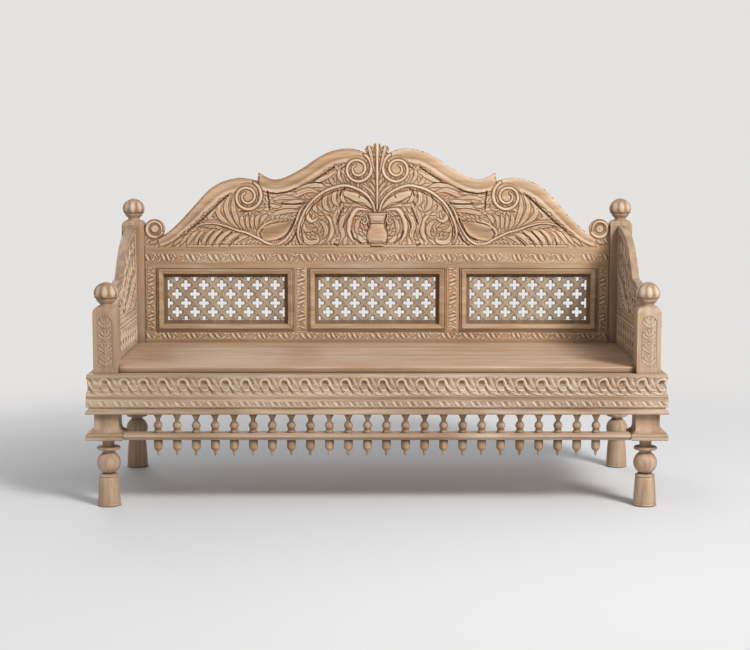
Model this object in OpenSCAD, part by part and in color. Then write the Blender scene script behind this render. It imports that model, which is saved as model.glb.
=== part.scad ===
// Carved hardwood bench with a scrolled crest, pierced back panels and a spindle gallery
// Millimetres, +Z up, front towards -Y, origin on the floor under the middle of the base

/* [Overall] */
// Distance between the centres of the left and right posts
post_span_x = 1798; // [1500:2:2100]
// Distance between the centres of the front and back posts
post_span_y = 678; // [600:2:780]
// Side of the square posts
post_w = 80; // [74:1:86]
// How far the carved frieze stands out past the faces of the posts
base_proj = 26; // [22:1:32]

/* [Feet and plinths] */
// Height of the tapered foot under its ball
foot_h = 108; // [90:1:125]
// Diameter of the foot at the floor
foot_d = 80; // [70:1:90]
// Diameter of the foot where it meets the ball
foot_top_d = 67; // [58:1:69]
// Diameter of the turned ball of the foot
foot_ball_d = 79; // [72:1:88]
// Thickness of the disc above the ball
collar_h = 12; // [8:1:14]
// Diameter of the disc above the ball
collar_d = 78; // [66:1:90]
// Length of the neck between the disc and the plinth
foot_neck_h = 28; // [15:1:40]
// Diameter of the turned spigot that ties foot, plinth and post together
foot_spigot_d = 34; // [24:1:40]
// Depth of that spigot inside the post
foot_spigot_in = 45; // [30:1:55]
// Thickness of the plinths and of the lower rail
plinth_h = 22; // [20:1:26]
// How far a plinth reaches inwards past its post
plinth_in = 18; // [16:1:24]
// How far the foot of a post spreads on its outer sides
post_flare = 20; // [12:1:22]
// How far the foot of a post spreads on its inner sides
post_flare_in = 11; // [6:1:12]

/* [Spindle gallery] */
// Height of the open gallery between the lower rail and the base
gallery_h = 66; // [54:1:80]
// Number of spindles and of pendants
spindle_n = 24; // [16:1:26]
// Distance from one spindle to the next
spindle_pitch = 63.4; // [52:0.2:64]
// Largest diameter of a spindle and of a pendant
spindle_d = 30; // [24:1:33]
// Diameter of the narrow neck of a spindle
spindle_neck_d = 13; // [11:1:16]
// Diameter of the spindle and pendant spigots
spindle_spigot_d = 10; // [8:1:11]
// Length of a pendant below the lower rail
pendant_h = 56; // [44:1:70]
// Depth of the lower rail from front to back
lower_rail_d = 56; // [48:1:64]

/* [Base and seat] */
// Height of the base box
base_h = 133; // [120:1:150]
// Thickness of the rails between the posts
rail_t = 40; // [34:1:46]
// Thickness of the seat boards
seat_t = 21; // [18:1:26]
// How far the seat is set back from the outer face of the front posts
seat_setback = 21; // [12:1:28]
// Number of seat boards
board_n = 6; // [6:1:6]
// Width and height of the bearers under the seat
bearer_w = 60; // [45:1:75]

/* [Posts and finials] */
// Height of the front posts above the base
front_post_h = 220; // [205:1:250]
// Height of the back posts above the base
back_post_h = 471; // [456:1:500]
// Diameter of the ball on each post
ball_d = 80; // [70:1:86]
// Depth of the recessed face panel on the front posts
post_recess = 3; // [2:0.5:4]

/* [Arms] */
// Thickness of the arms over their rims
arm_t = 25; // [22:1:32]
// Depth of the carved field below the rims of the arms
arm_relief = 3; // [2:0.5:5]
// Height of the arm above the base where it meets the front post
arm_front_h = 199; // [180:1:202]
// Height of the low shelf of the arm above the base
arm_shelf_h = 286; // [270:1:300]
// Height of the arm above the base where it meets the back post
arm_back_h = 454; // [430:1:458]
// Width of the raised rim along the top of the arm
arm_rim_w = 30; // [20:1:38]
// Height of the middle band of the arm above the base
arm_band_z = 123; // [110:1:130]
// Width of that middle band
arm_band_h = 37; // [25:1:40]

/* [Back frame] */
// Thickness of the back rails and stiles
back_t = 36; // [34:1:44]
// Width of each window in the back
win_w = 460; // [400:2:464]
// Height of each window in the back
win_h = 186; // [160:1:190]
// Distance between the centres of neighbouring windows
win_pitch = 561; // [556:1:566]
// Height of the middle of the windows above the base
win_mid = 181; // [178:1:186]
// Width of the applied moulding round each window
mould_w = 25; // [20:1:28]
// How far that moulding stands proud of the frame
mould_proud = 10; // [7:1:12]
// Width of the rebate that holds a pierced panel
rebate_w = 14; // [10:1:16]
// Height of the top of the back frame above the base
frame_top = 373; // [350:1:390]

/* [Pierced panels] */
// Thickness of the pierced panels
jali_t = 12; // [10:1:13]
// Distance from one piercing to the next in a row
jali_pitch = 66.4; // [62:0.2:72]
// Distance from one row of piercings to the next
jali_row = 33.6; // [32:0.2:38]
// Width across a four lobed piercing
jali_hole = 38; // [30:1:40]
// Width of the plain border round the piercings
jali_border = 13; // [8:0.5:16]

/* [Crest] */
// Thickness of the crest board without its carving
crest_t = 24; // [20:1:30]
// How far the rim and scrolls of the crest stand proud
crest_relief = 9; // [6:0.5:12]
// Height of the crest above the back frame
crest_h = 384; // [340:1:420]
// Width of the raised rim of the crest
crest_rim_w = 32; // [24:1:38]
// Radius of the small scroll at each end of the crest
end_scroll_r = 37; // [30:1:40]
// Diameter of the dowels under the crest
dowel_d = 12; // [10:1:14]

/* [Joinery] */
// Thickness of the tenons
tenon_t = 12; // [10:1:14]
// Length of the tenons
tenon_l = 28; // [20:1:32]
// Clearance round tenons and spigots
fit = 0.2; // [0.1:0.05:0.3]
// Gap between seat boards
board_gap = 1; // [0.5:0.1:2]

/* [Hidden] */
$fn = 48;
wood = [0.78, 0.66, 0.53];
wood_dark = [0.66, 0.53, 0.41];
wood_seat = [0.72, 0.58, 0.46];

px = post_span_x / 2;
py = post_span_y / 2;
hp = post_w / 2;
face_x = px + hp;
face_y = py + hp;
in_x = px - hp;
in_y = py - hp;
out_y = face_y + base_proj;

foot_ball_z = foot_h + foot_ball_d / 2 - 1;
collar_z = foot_ball_z + foot_ball_d / 2 + 4;
plinth_z = collar_z + collar_h + foot_neck_h;
block_z = plinth_z + plinth_h;
base_z = block_z + gallery_h;
base_top = base_z + base_h;
seat_top = base_top + seat_t;
front_top = base_top + front_post_h;
back_top = base_top + back_post_h;
crest_z = base_top + frame_top;
win_z = base_top + win_mid;

// cavetto at the foot of each post and bevel at its top
flare_h = gallery_h * 0.48;
post_bevel = 9;

spindle_y = -(face_y - spindle_d / 2 + 0.5);
lower_front_y = -(out_y - 3);
spigot_in = 9;

back_y = py - back_t / 2;
back_lip = 9;
jali_y1 = py + back_t / 2 - back_lip;
jali_y0 = jali_y1 - jali_t;
back_tenon_y = back_y + (back_t - back_lip) / 2;

seat_y0 = -(face_y - seat_setback);
seat_y1 = back_y - fit;
board_w = (seat_y1 - seat_y0 - (board_n - 1) * board_gap) / board_n;

arm_x0 = px - arm_t / 2;

crest_y0 = py - crest_t / 2;
crest_end = in_x - fit;
crest_k = crest_end / 852;
crest_v = crest_h / 384;

// Shared shapes and curves

module between(lo, hi) translate(lo) cube(hi - lo);

module quarter(sx, sy) mirror([sx < 0 ? 1 : 0, 0, 0]) mirror([0, sy < 0 ? 1 : 0, 0]) children();

// Square block whose sides follow profiles of [stand-out, height] points: one for the sides that
// face +X and +Y, and one for the other two
module profiled_square(w, outer, inner) {
    reach = w + 2 * max([for (p = concat(outer, inner)) p[0]]) + 2;
    half = [for (p = outer) [w / 2 + p[0], p[1]]];
    other = [for (i = [len(inner) - 1 : -1 : 0]) [-w / 2 - inner[i][0], inner[i][1]]];
    intersection() {
        rotate([90, 0, 0]) translate([0, 0, -reach / 2]) linear_extrude(reach) polygon(concat(half, other));
        rotate([90, 0, 90]) translate([0, 0, -reach / 2]) linear_extrude(reach) polygon(concat(half, other));
    }
}

// Quarter curve from a to b that leaves a level and reaches b upright
function cove(a, b, steps) = [for (i = [0 : steps]) let (t = 90 * i / steps)
    [a[0] + (b[0] - a[0]) * sin(t), a[1] + (b[1] - a[1]) * (1 - cos(t))]];

// Smooth curve through points, from the second to the last but one
function spline(p, steps) = [for (i = [1 : len(p) - 3]) for (s = [0 : steps - (i < len(p) - 3 ? 1 : 0)])
    let (t = s / steps, a = p[i - 1], b = p[i], c = p[i + 1], d = p[i + 2])
    0.5 * (2 * b + (c - a) * t + (2 * a - 5 * b + 4 * c - d) * t * t + (3 * b - a - 3 * c + d) * t * t * t)];

function through(p, steps) =
    let (n = len(p)) spline(concat([2 * p[0] - p[1]], p, [2 * p[n - 1] - p[n - 2]]), steps);

// Unit vector to the left of the path at point i
function side_of(p, i) = let (n = len(p), a = p[max(i - 1, 0)], b = p[min(i + 1, n - 1)], d = b - a)
    [-d[1], d[0]] / norm(d);

// Ribbon along a path, from one offset to another on its left
module ribbon(path, inner, outer) {
    n = len(path);
    polygon(concat(
        [for (i = [0 : n - 1]) path[i] + side_of(path, i) * inner],
        [for (i = [n - 1 : -1 : 0]) path[i] + side_of(path, i) * outer]));
}

// Feet and plinths

module foot(sx, sy) color(wood) quarter(sx, sy) translate([px, py, 0]) {
    base_ring = foot_h / 12;
    ring_r = foot_d / 40;
    lip_h = foot_h / 36;
    neck_flare_h = foot_neck_h * 0.29;
    cylinder(h = base_ring / 3, d1 = foot_d - 2 * ring_r, d2 = foot_d);
    translate([0, 0, base_ring / 3]) cylinder(h = base_ring / 3, d = foot_d);
    translate([0, 0, base_ring * 2 / 3]) cylinder(h = base_ring / 3, d1 = foot_d, d2 = foot_d - 2 * ring_r);
    translate([0, 0, base_ring])
        cylinder(h = foot_h - base_ring - 2 * lip_h, d1 = foot_d - 2 * ring_r, d2 = foot_top_d - 2 * ring_r);
    translate([0, 0, foot_h - 3 * lip_h]) cylinder(h = 2 * lip_h, d = foot_top_d);
    translate([0, 0, foot_h - lip_h]) cylinder(h = lip_h, d1 = foot_top_d, d2 = foot_top_d - 2 * ring_r);
    translate([0, 0, foot_ball_z]) sphere(d = foot_ball_d);
    translate([0, 0, foot_h]) cylinder(h = foot_ball_d / 4, d = foot_top_d * 0.74);
    translate([0, 0, foot_ball_z]) cylinder(h = collar_z - foot_ball_z, d = foot_top_d * 0.62);
    translate([0, 0, collar_z]) rotate_extrude() {
        square([collar_d / 2 - collar_h / 2, collar_h]);
        translate([collar_d / 2 - collar_h / 2, collar_h / 2]) circle(d = collar_h);
    }
    translate([0, 0, collar_z + collar_h]) {
        cylinder(h = foot_neck_h, d = foot_top_d * 0.6);
        translate([0, 0, foot_neck_h - neck_flare_h])
            cylinder(h = neck_flare_h, d1 = foot_top_d * 0.6, d2 = foot_top_d * 0.85);
    }
    translate([0, 0, plinth_z]) cylinder(h = plinth_h + foot_spigot_in, d = foot_spigot_d);
}

// Section of the plinths and the lower rail, front edge as [stand-out, height]
plinth_edge = [[-3, 0], [0, 3], [0, plinth_h * 0.45], [-2, plinth_h * 0.5], [-2, plinth_h * 0.6],
    [0, plinth_h * 0.68], [-1, plinth_h * 0.88], [-4, plinth_h]];

module plinth(sx, sy) color(wood) quarter(sx, sy) difference() {
    side = post_w + base_proj + plinth_in;
    mid = (base_proj - plinth_in) / 2;
    translate([px + mid, py + mid, plinth_z]) profiled_square(side, plinth_edge, plinth_edge);
    translate([px, py, plinth_z - 1]) cylinder(h = plinth_h + 2, d = foot_spigot_d + 2 * fit);
    if (sy < 0) lower_tenon(fit);
}

// Tongue at the end of the lower rail, drawn in the quarter of +X and +Y
module lower_tenon(g) {
    y_mid = -lower_front_y - lower_rail_d / 2;
    x0 = in_x - plinth_in;
    between([x0 - 10, y_mid - 15 - g, plinth_z + 8 - g],
        [x0 + 18 + g, y_mid + 15 + g, plinth_z + plinth_h - 7 + g]);
}

module lower_rail() color(wood) difference() {
    end = in_x - plinth_in - fit;
    round_r = plinth_h * 0.45;
    union() {
        rotate([90, 0, 90]) translate([0, 0, -end]) linear_extrude(2 * end) polygon(concat(
            [[lower_front_y + lower_rail_d, plinth_z], [lower_front_y + 2, plinth_z],
             [lower_front_y, plinth_z + 2], [lower_front_y, plinth_z + plinth_h - round_r]],
            [for (a = [15 : 15 : 90]) [lower_front_y + round_r * (1 - cos(a)),
                plinth_z + plinth_h - round_r * (1 - sin(a))]],
            [[lower_front_y + lower_rail_d, plinth_z + plinth_h]]));
        for (sx = [-1, 1]) quarter(sx, -1) lower_tenon(0);
    }
    for (x = spindle_x) translate([x, spindle_y, plinth_z - 1]) {
        cylinder(h = spigot_in + 1 + fit, d = spindle_spigot_d + 2 * fit);
        translate([0, 0, plinth_h + 1 - spigot_in - fit])
            cylinder(h = spigot_in + 1 + fit, d = spindle_spigot_d + 2 * fit);
    }
}

// Spindle gallery

spindle_x = [for (i = [0 : spindle_n - 1]) (i - (spindle_n - 1) / 2) * spindle_pitch];

module spindle() {
    ball_z = gallery_h * 0.36;
    neck_top = gallery_h * 0.66;
    cap_h = gallery_h * 0.1;
    translate([0, 0, -spigot_in]) cylinder(h = gallery_h + 2 * spigot_in, d = spindle_spigot_d);
    cylinder(h = gallery_h * 0.12, d = spindle_d * 0.93);
    translate([0, 0, gallery_h * 0.12]) cylinder(h = ball_z - gallery_h * 0.12, d = spindle_d * 0.8);
    translate([0, 0, ball_z]) sphere(d = spindle_d);
    translate([0, 0, ball_z]) cylinder(h = neck_top - ball_z, d = spindle_neck_d);
    translate([0, 0, neck_top])
        cylinder(h = gallery_h - cap_h - neck_top, d1 = spindle_neck_d, d2 = spindle_d * 0.94);
    translate([0, 0, gallery_h - cap_h]) cylinder(h = cap_h, d = spindle_d * 0.94);
}

module spindles() color(wood) for (x = spindle_x) translate([x, spindle_y, block_z]) spindle();

module pendant() {
    drum = pendant_h * 0.55;
    tip = pendant_h * 0.3;
    tip_d = spindle_d * 0.4;
    cylinder(h = spigot_in, d = spindle_spigot_d);
    translate([0, 0, -4]) cylinder(h = 4, d = spindle_d * 0.86);
    translate([0, 0, -drum]) cylinder(h = drum - 4, d = spindle_d);
    translate([0, 0, -drum - 3]) cylinder(h = 3, d1 = spindle_d * 0.84, d2 = spindle_d);
    translate([0, 0, tip - pendant_h])
        cylinder(h = pendant_h - tip - drum - 3, d1 = tip_d, d2 = spindle_d * 0.84);
    translate([0, 0, -pendant_h]) cylinder(h = tip, d1 = tip_d * 0.4, d2 = tip_d);
}

module pendants() color(wood) for (x = spindle_x) translate([x, spindle_y, plinth_z]) pendant();

// Posts and finials

finial_spigot_d = 24;
finial_spigot_l = 30;

module post(sx, sy) color(wood) quarter(sx, sy) difference() {
    h = (sy < 0 ? front_top : back_top) - block_z;
    head = [[0, h - post_bevel - 6], [-2, h - post_bevel - 3], [-2, h - post_bevel], [-post_bevel, h]];
    translate([px, py, block_z]) profiled_square(post_w,
        concat([[post_flare, 0]], cove([post_flare, 3], [0, flare_h], 6), head),
        concat([[post_flare_in, 0]], cove([post_flare_in, 3], [0, flare_h * 0.7], 6), head));
    translate([px, py, block_z - 1]) {
        cylinder(h = foot_spigot_in + 1 + fit, d = foot_spigot_d + 2 * fit);
        translate([0, 0, h + 1 - finial_spigot_l - fit])
            cylinder(h = finial_spigot_l + 1 + fit, d = finial_spigot_d + 2 * fit);
    }
    x_tenon(base_z + 20, base_top - 20, py + hp - rail_t / 2, fit);
    y_tenon(base_z + 20, base_top - 20, px + hp - rail_t / 2, fit);
    arm_tenon(sy < 0 ? arm_front_h : arm_back_h, fit);
    if (sy > 0) back_tenons(fit);
    if (sy < 0) translate([px, py + hp, 0]) recess_panel(base_top + 22, front_top - 28);
}

// Sunk field with an arched head on the outer face of a front post
module recess_panel(z0, z1) {
    w = post_w * 0.62;
    translate([0, 1, 0]) rotate([90, 0, 0]) linear_extrude(post_recess + 1) {
        translate([-w / 2, z0]) square([w, z1 - z0 - w / 2]);
        translate([0, z1 - w / 2]) circle(d = w);
    }
}

// Tenons in the quarter of +X and +Y, grown by g where they cut a mortise
module x_tenon(z0, z1, y, g)
    between([in_x - 2, y - tenon_t / 2 - g, z0 - g], [in_x + tenon_l + g, y + tenon_t / 2 + g, z1 + g]);

module y_tenon(z0, z1, x, g)
    between([x - tenon_t / 2 - g, in_y - 2, z0 - g], [x + tenon_t / 2 + g, in_y + tenon_l + g, z1 + g]);

module arm_tenon(h, g)
    between([px - tenon_t / 2 - g, in_y - 2, seat_top + 20 - g],
        [px + tenon_t / 2 + g, in_y + tenon_l * 0.7 + g, base_top + h - 25 + g]);

module finial(sx, sy) color(wood) quarter(sx, sy) translate([px, py, sy < 0 ? front_top : back_top]) {
    neck_h = 4;
    translate([0, 0, -finial_spigot_l]) cylinder(h = finial_spigot_l + 10, d = finial_spigot_d);
    cylinder(h = neck_h, d1 = ball_d * 0.72, d2 = ball_d * 0.62);
    translate([0, 0, neck_h]) cylinder(h = ball_d * 0.12, d1 = ball_d * 0.5, d2 = ball_d * 0.7);
    translate([0, 0, neck_h + ball_d / 2 - 1.5]) {
        sphere(d = ball_d - 1);
        rotate_extrude() translate([ball_d / 2 - 2, -ball_d * 0.12]) circle(d = 4);
    }
}

// Base box: rails between the posts and the carved frieze round them

// Face of the frieze as [stand-out from the posts, height above the base]
frieze_face = [[base_proj - 2, 0], [base_proj, 2], [base_proj, 8], [base_proj - 3, 11],
    [base_proj - 10, 16], [base_proj - 10, 22], [base_proj - 3, 24], [base_proj - 3, base_h * 0.4],
    [base_proj - 4, base_h * 0.52], [base_proj - 8, base_h * 0.57], [base_proj - 9, base_h * 0.7],
    [base_proj - 8, base_h * 0.84], [base_proj - 5, base_h * 0.92], [base_proj - 7, base_h]];

// One side of the frieze, drawn towards +Y with its corners mitred
module frieze_bar(run) intersection() {
    rotate([90, 0, 90]) translate([0, base_z, -run / 2 - base_proj]) linear_extrude(run + 2 * base_proj)
        polygon(concat([[0, base_h], [0, 0]], frieze_face));
    translate([0, 0, base_z - 1]) linear_extrude(base_h + 2) polygon([[-run / 2 + fit, 0], [run / 2 - fit, 0],
        [run / 2 + base_proj - fit, base_proj], [-run / 2 - base_proj + fit, base_proj]]);
}

module frieze_long(sy) color(wood) quarter(1, sy) translate([0, face_y, 0]) frieze_bar(2 * face_x);

module frieze_short(sx) color(wood) quarter(sx, 1) translate([face_x, 0, 0])
    rotate([0, 0, -90]) frieze_bar(2 * face_y);

module rail_long(sy) color(wood_dark) quarter(1, sy) difference() {
    union() {
        between([-in_x + fit, face_y - rail_t, base_z], [in_x - fit, face_y, base_top]);
        for (sx = [-1, 1]) quarter(sx, 1) x_tenon(base_z + 20, base_top - 20, face_y - rail_t / 2, 0);
    }
    for (x = bearer_x) translate([x, 0, 0]) bearer_end(fit);
    if (sy < 0) for (x = spindle_x) translate([x, -spindle_y, base_z - 1])
        cylinder(h = spigot_in + 1 + fit, d = spindle_spigot_d + 2 * fit);
}

module rail_short(sx) color(wood_dark) quarter(sx, 1) {
    between([face_x - rail_t, -in_y + fit, base_z], [face_x, in_y - fit, base_top]);
    for (sy = [-1, 1]) quarter(1, sy) y_tenon(base_z + 20, base_top - 20, face_x - rail_t / 2, 0);
}

// Seat

bearer_h = 45;
bearer_x = [for (i = [-1 : 1]) i * post_span_x / 4];

// Dovetail-free housing where a bearer sits in the rail
module bearer_end(g)
    between([-bearer_w / 2 - g, face_y - rail_t - 2, base_top - bearer_h - g],
        [bearer_w / 2 + g, face_y - rail_t / 2 + g, base_top + 1]);

module bearer(i) color(wood_dark) translate([bearer_x[i], 0, 0]) {
    reach = face_y - rail_t / 2;
    between([-bearer_w / 2, -reach, base_top - bearer_h], [bearer_w / 2, reach, base_top]);
}

module ledger(sx) color(wood_dark) quarter(sx, 1) {
    t = 34;
    reach = face_y - rail_t - fit;
    between([face_x - rail_t - t, -in_y + fit, base_top - bearer_h], [face_x - rail_t, in_y - fit, base_top]);
}

module seat_board(i) color(wood_seat) {
    y0 = seat_y0 + i * (board_w + board_gap);
    y1 = y0 + board_w;
    long_y0 = max(y0, -in_y + fit);
    long_y1 = min(y1, in_y - fit);
    between([-in_x + fit, y0, base_top], [in_x - fit, y1, seat_top]);
    if (long_y1 > long_y0)
        between([-arm_x0 + fit, long_y0, base_top], [arm_x0 - fit, long_y1, seat_top]);
}

// Arms

// Top edge of an arm from the front post to the back post, as [y, height above the base]
arm_rise = arm_back_h - arm_shelf_h;
arm_top = through([
    [-in_y, arm_front_h], [-in_y * 0.86, arm_front_h + (arm_shelf_h - arm_front_h) * 0.5],
    [-in_y * 0.62, arm_shelf_h - 14], [-in_y * 0.4, arm_shelf_h], [-in_y * 0.24, arm_shelf_h + 4],
    [-in_y * 0.13, arm_shelf_h + arm_rise * 0.22], [in_y * 0.04, arm_shelf_h + arm_rise * 0.5],
    [in_y * 0.24, arm_shelf_h + arm_rise * 0.73], [in_y * 0.6, arm_shelf_h + arm_rise * 0.93],
    [in_y, arm_back_h]], 4);

module arm_slice(t) translate([px - t / 2, 0, base_top]) rotate([90, 0, 90])
    linear_extrude(t) intersection() {
        translate([-in_y + fit, 0]) square([2 * (in_y - fit), arm_back_h + 60]);
        children();
    }

module arm_field() polygon(concat([[in_y, 0], [-in_y, 0]], arm_top));

module arm(sx) color(wood) quarter(sx, 1) {
    border = 12;
    arm_slice(arm_t - 2 * arm_relief) arm_field();
    arm_slice(arm_t) ribbon(arm_top, -arm_rim_w, 0);
    arm_slice(arm_t) intersection() {
        arm_field();
        union() {
            translate([-in_y, arm_band_z]) square([2 * in_y, arm_band_h]);
            translate([-in_y, 0]) square([2 * in_y, seat_t + border]);
            translate([-in_y, 0]) square([border, arm_back_h]);
            translate([in_y - border, 0]) square([border, arm_back_h]);
        }
    }
    quarter(1, -1) arm_tenon(arm_front_h, 0);
    arm_tenon(arm_back_h, 0);
}

// Back frame

win_x = [-win_pitch, 0, win_pitch];

// Rebate and through window for the pierced panels
module windows() for (x = win_x) {
    between([x - win_w / 2 - rebate_w, back_y - 1, win_z - win_h / 2 - rebate_w],
        [x + win_w / 2 + rebate_w, jali_y1, win_z + win_h / 2 + rebate_w]);
    between([x - win_w / 2, back_y, win_z - win_h / 2], [x + win_w / 2, py + back_t, win_z + win_h / 2]);
}

// Tenons of the two back rails, in the quarter of +X and +Y
module back_tenons(g) {
    x_tenon(seat_top + 6, win_z - win_h / 2 - 30, back_tenon_y, g);
    x_tenon(win_z + win_h / 2 + 30, crest_z - 12, back_tenon_y, g);
}

module back_rail(z0, z1) difference() {
    union() {
        between([-in_x + fit, back_y, z0], [in_x - fit, py + back_t / 2, z1]);
        for (sx = [-1, 1]) quarter(sx, 1) intersection() {
            back_tenons(0);
            between([0, 0, z0], [px, 2 * py, z1]);
        }
    }
    windows();
    for (x = stile_x) stile_tenons(x, fit);
}

module back_bottom_rail() color(wood) back_rail(base_top, win_z - win_h / 2);

module back_top_rail() color(wood) difference() {
    back_rail(win_z + win_h / 2, crest_z);
    for (x = dowel_x) translate([x, py, crest_z - dowel_l / 2 - fit])
        cylinder(h = dowel_l / 2 + 1, d = dowel_d + 2 * fit);
}

inner_stile_w = win_pitch - win_w;
outer_stile_w = in_x - win_pitch - win_w / 2;
stile_x = [-(in_x - outer_stile_w / 2), -win_pitch / 2, win_pitch / 2, in_x - outer_stile_w / 2];

module stile_tenons(x, g) {
    w = min(inner_stile_w, outer_stile_w) - 2 * rebate_w - 12;
    between([x - w / 2 - g, back_tenon_y - tenon_t / 2 - g, win_z - win_h / 2 - tenon_l - g],
        [x + w / 2 + g, back_tenon_y + tenon_t / 2 + g, win_z + win_h / 2 + tenon_l + g]);
}

module stile(i) color(wood) {
    w = (i == 0 || i == 3) ? outer_stile_w : inner_stile_w;
    lo = stile_x[i] - w / 2 + (i == 0 ? fit : 0);
    hi = stile_x[i] + w / 2 - (i == 3 ? fit : 0);
    difference() {
        between([lo, back_y, win_z - win_h / 2 + fit], [hi, py + back_t / 2, win_z + win_h / 2 - fit]);
        windows();
    }
    stile_tenons(stile_x[i], 0);
}

// Applied moulding round a window, as [distance from the window, stand-out from the frame]
mould_face = [[0, mould_proud * 0.35], [2, mould_proud * 0.6], [6, mould_proud * 0.7],
    [mould_w * 0.35, mould_proud * 0.8], [mould_w * 0.5, mould_proud], [mould_w * 0.66, mould_proud],
    [mould_w * 0.74, mould_proud * 0.55], [mould_w * 0.82, mould_proud * 0.5],
    [mould_w * 0.88, mould_proud * 0.85], [mould_w - 1, mould_proud * 0.7], [mould_w, mould_proud * 0.4]];

module mould_bar(run, rise) intersection() {
    sunk = back_y - jali_y0;
    translate([-run / 2 - mould_w, back_y, win_z + rise / 2]) rotate([0, 90, 0]) linear_extrude(run + 2 * mould_w)
        polygon([for (p = concat(mould_face, [[mould_w, 0], [rebate_w - 2 * fit, 0],
            [rebate_w - 2 * fit, sunk], [0, sunk]])) [-p[0], -p[1]]]);
    translate([0, py, win_z + rise / 2]) rotate([90, 0, 0]) linear_extrude(2 * back_t) polygon([
        [-run / 2 + fit, 0], [run / 2 - fit, 0], [run / 2 + mould_w - fit, mould_w],
        [-run / 2 - mould_w + fit, mould_w]]);
}

module moulding(i) color(wood) translate([win_x[i], 0, 0]) for (a = [0 : 90 : 270])
    translate([0, 0, win_z]) rotate([0, a, 0]) translate([0, 0, -win_z])
        mould_bar(a % 180 == 0 ? win_w : win_h, a % 180 == 0 ? win_h : win_w);

// Pierced panels, with the staggered rows shifted half a step in the right one

module piercing() {
    lobe = jali_hole * 0.34;
    reach = jali_hole / 2 - lobe / 2;
    rotate(45) square(jali_hole * 0.46, center = true);
    for (a = [0 : 90 : 270]) rotate(a) translate([reach, 0]) circle(d = lobe);
}

module jali(i) color(wood) translate([win_x[i], 0, 0]) {
    w = win_w + 2 * rebate_w - 4 * fit;
    h = win_h + 2 * rebate_w - 4 * fit;
    rows = ceil(win_h / jali_row / 2);
    cols = ceil(win_w / jali_pitch / 2) + 1;
    translate([0, jali_y1, win_z]) rotate([90, 0, 0]) linear_extrude(jali_t) difference() {
        square([w, h], center = true);
        intersection() {
            square([win_w - 2 * jali_border, win_h - 2 * jali_border], center = true);
            for (r = [-rows : rows]) for (c = [-cols : cols])
                translate([(c + 0.25 + ((r % 2 == 0) == (i == 2) ? 0.5 : 0)) * jali_pitch,
                    (r + 0.5) * jali_row]) piercing();
        }
    }
}

// Crest

// Right half of the outline from the middle to the end, as [x, height above the frame]
shoulder_line = through([[44, 347], [72, 359], [116, 363], [170, 352], [218, 328], [266, 295], [318, 266],
    [358, 251], [394, 254], [433, 275]], 4);
second_line = through([[436, 244], [472, 253], [512, 255], [568, 240], [614, 211], [656, 167], [699, 119],
    [739, 78], [773, 51], [800, 40]], 4);
function crest_pt(p) = [p[0] * crest_k, p[1] * crest_v];
shoulder_top = [for (p = shoulder_line) crest_pt(p)];
second_top = [for (p = second_line) crest_pt(p)];
end_scroll = [crest_end - end_scroll_r, 67 * crest_v];

module crest_half() {
    polygon(concat([[-1, 0], [-1, shoulder_top[0][1]]], shoulder_top, second_top,
        [[crest_end, 40 * crest_v], [crest_end, 0]]));
    translate(end_scroll) circle(r = end_scroll_r);
}

// Fan of lobes at the middle of the top, drawn in by the inset
module crest_fan(inset) {
    top = crest_h;
    reach = 26 * crest_k;
    translate([0, top - 17]) circle(r = 17 - inset);
    for (s = [-1, 1]) {
        translate([s * (reach + 3), top - 25]) circle(r = 15 - inset);
        translate([s * reach, top - 52]) circle(r = 17 - inset);
    }
    translate([-reach, top - 90]) square([2 * reach, 70]);
}

module mirrored_x() { children(); mirror([1, 0, 0]) children(); }

// Spiral ribbon from radius r1 down to r0 over the given turn, starting at angle a
function spiral(r0, r1, a, turn) = [for (i = [0 : 40])
    let (t = i / 40, r = r1 + (r0 - r1) * t) [r * cos(a + turn * t), r * sin(a + turn * t)]];

module volute(r, a, turn) {
    path = spiral(r * 0.3, r, a, turn);
    n = len(path);
    bead = r * 0.13;
    polygon(concat([for (i = [0 : n - 1]) path[i] * (1 - bead / norm(path[i]))],
        [for (i = [n - 1 : -1 : 0]) path[i] * (1 + bead / norm(path[i]))]));
    circle(r = r * 0.26);
}

volute_r = 46;
volute_from = 60;
volute_turn = 560;
rim_inset = 1.5;
inner_volute = crest_pt([73, 292]);
outer_volute = crest_pt([474, 190]);

module vase_outline() {
    rim = 34;
    belly = 41;
    polygon(concat([[0, 4], [24, 4], [20, 12]],
        through([[18, 16], [32, 26], [belly, 46], [34, 72], [24, 92], [26, 106], [rim, 116]], 5),
        [[rim, 128], [0, 128]]));
}

module raised(h) translate([0, crest_y0, crest_z]) rotate([90, 0, 0]) linear_extrude(h) children();

module crest() color(wood) difference() {
    union() {
        translate([0, crest_y0 + crest_t, crest_z]) rotate([90, 0, 0]) linear_extrude(crest_t) {
            mirrored_x() crest_half();
            crest_fan(0);
        }
        raised(crest_relief) mirrored_x() {
            ribbon(shoulder_top, -crest_rim_w, -rim_inset);
            ribbon(second_top, -crest_rim_w, -rim_inset);
            for (eye = [inner_volute, outer_volute]) translate(eye)
                volute(volute_r * crest_v, volute_from, volute_turn);
            translate(end_scroll) circle(r = end_scroll_r - rim_inset);
            translate([0, rim_inset]) square([in_x - 4 * end_scroll_r, 12]);
        }
        raised(crest_relief + 3) mirrored_x() vase_outline();
        raised(crest_relief) crest_fan(rim_inset);
    }
    for (x = dowel_x) translate([x, py, crest_z - 1])
        cylinder(h = dowel_l / 2 + 1 + fit, d = dowel_d + 2 * fit);
}

dowel_l = 60;
dowel_x = [for (i = [-2.5 : 1 : 2.5]) i * in_x / 3];

module crest_dowels() color(wood_dark) for (x = dowel_x)
    translate([x, py, crest_z - dowel_l / 2]) cylinder(h = dowel_l, d = dowel_d);

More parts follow.
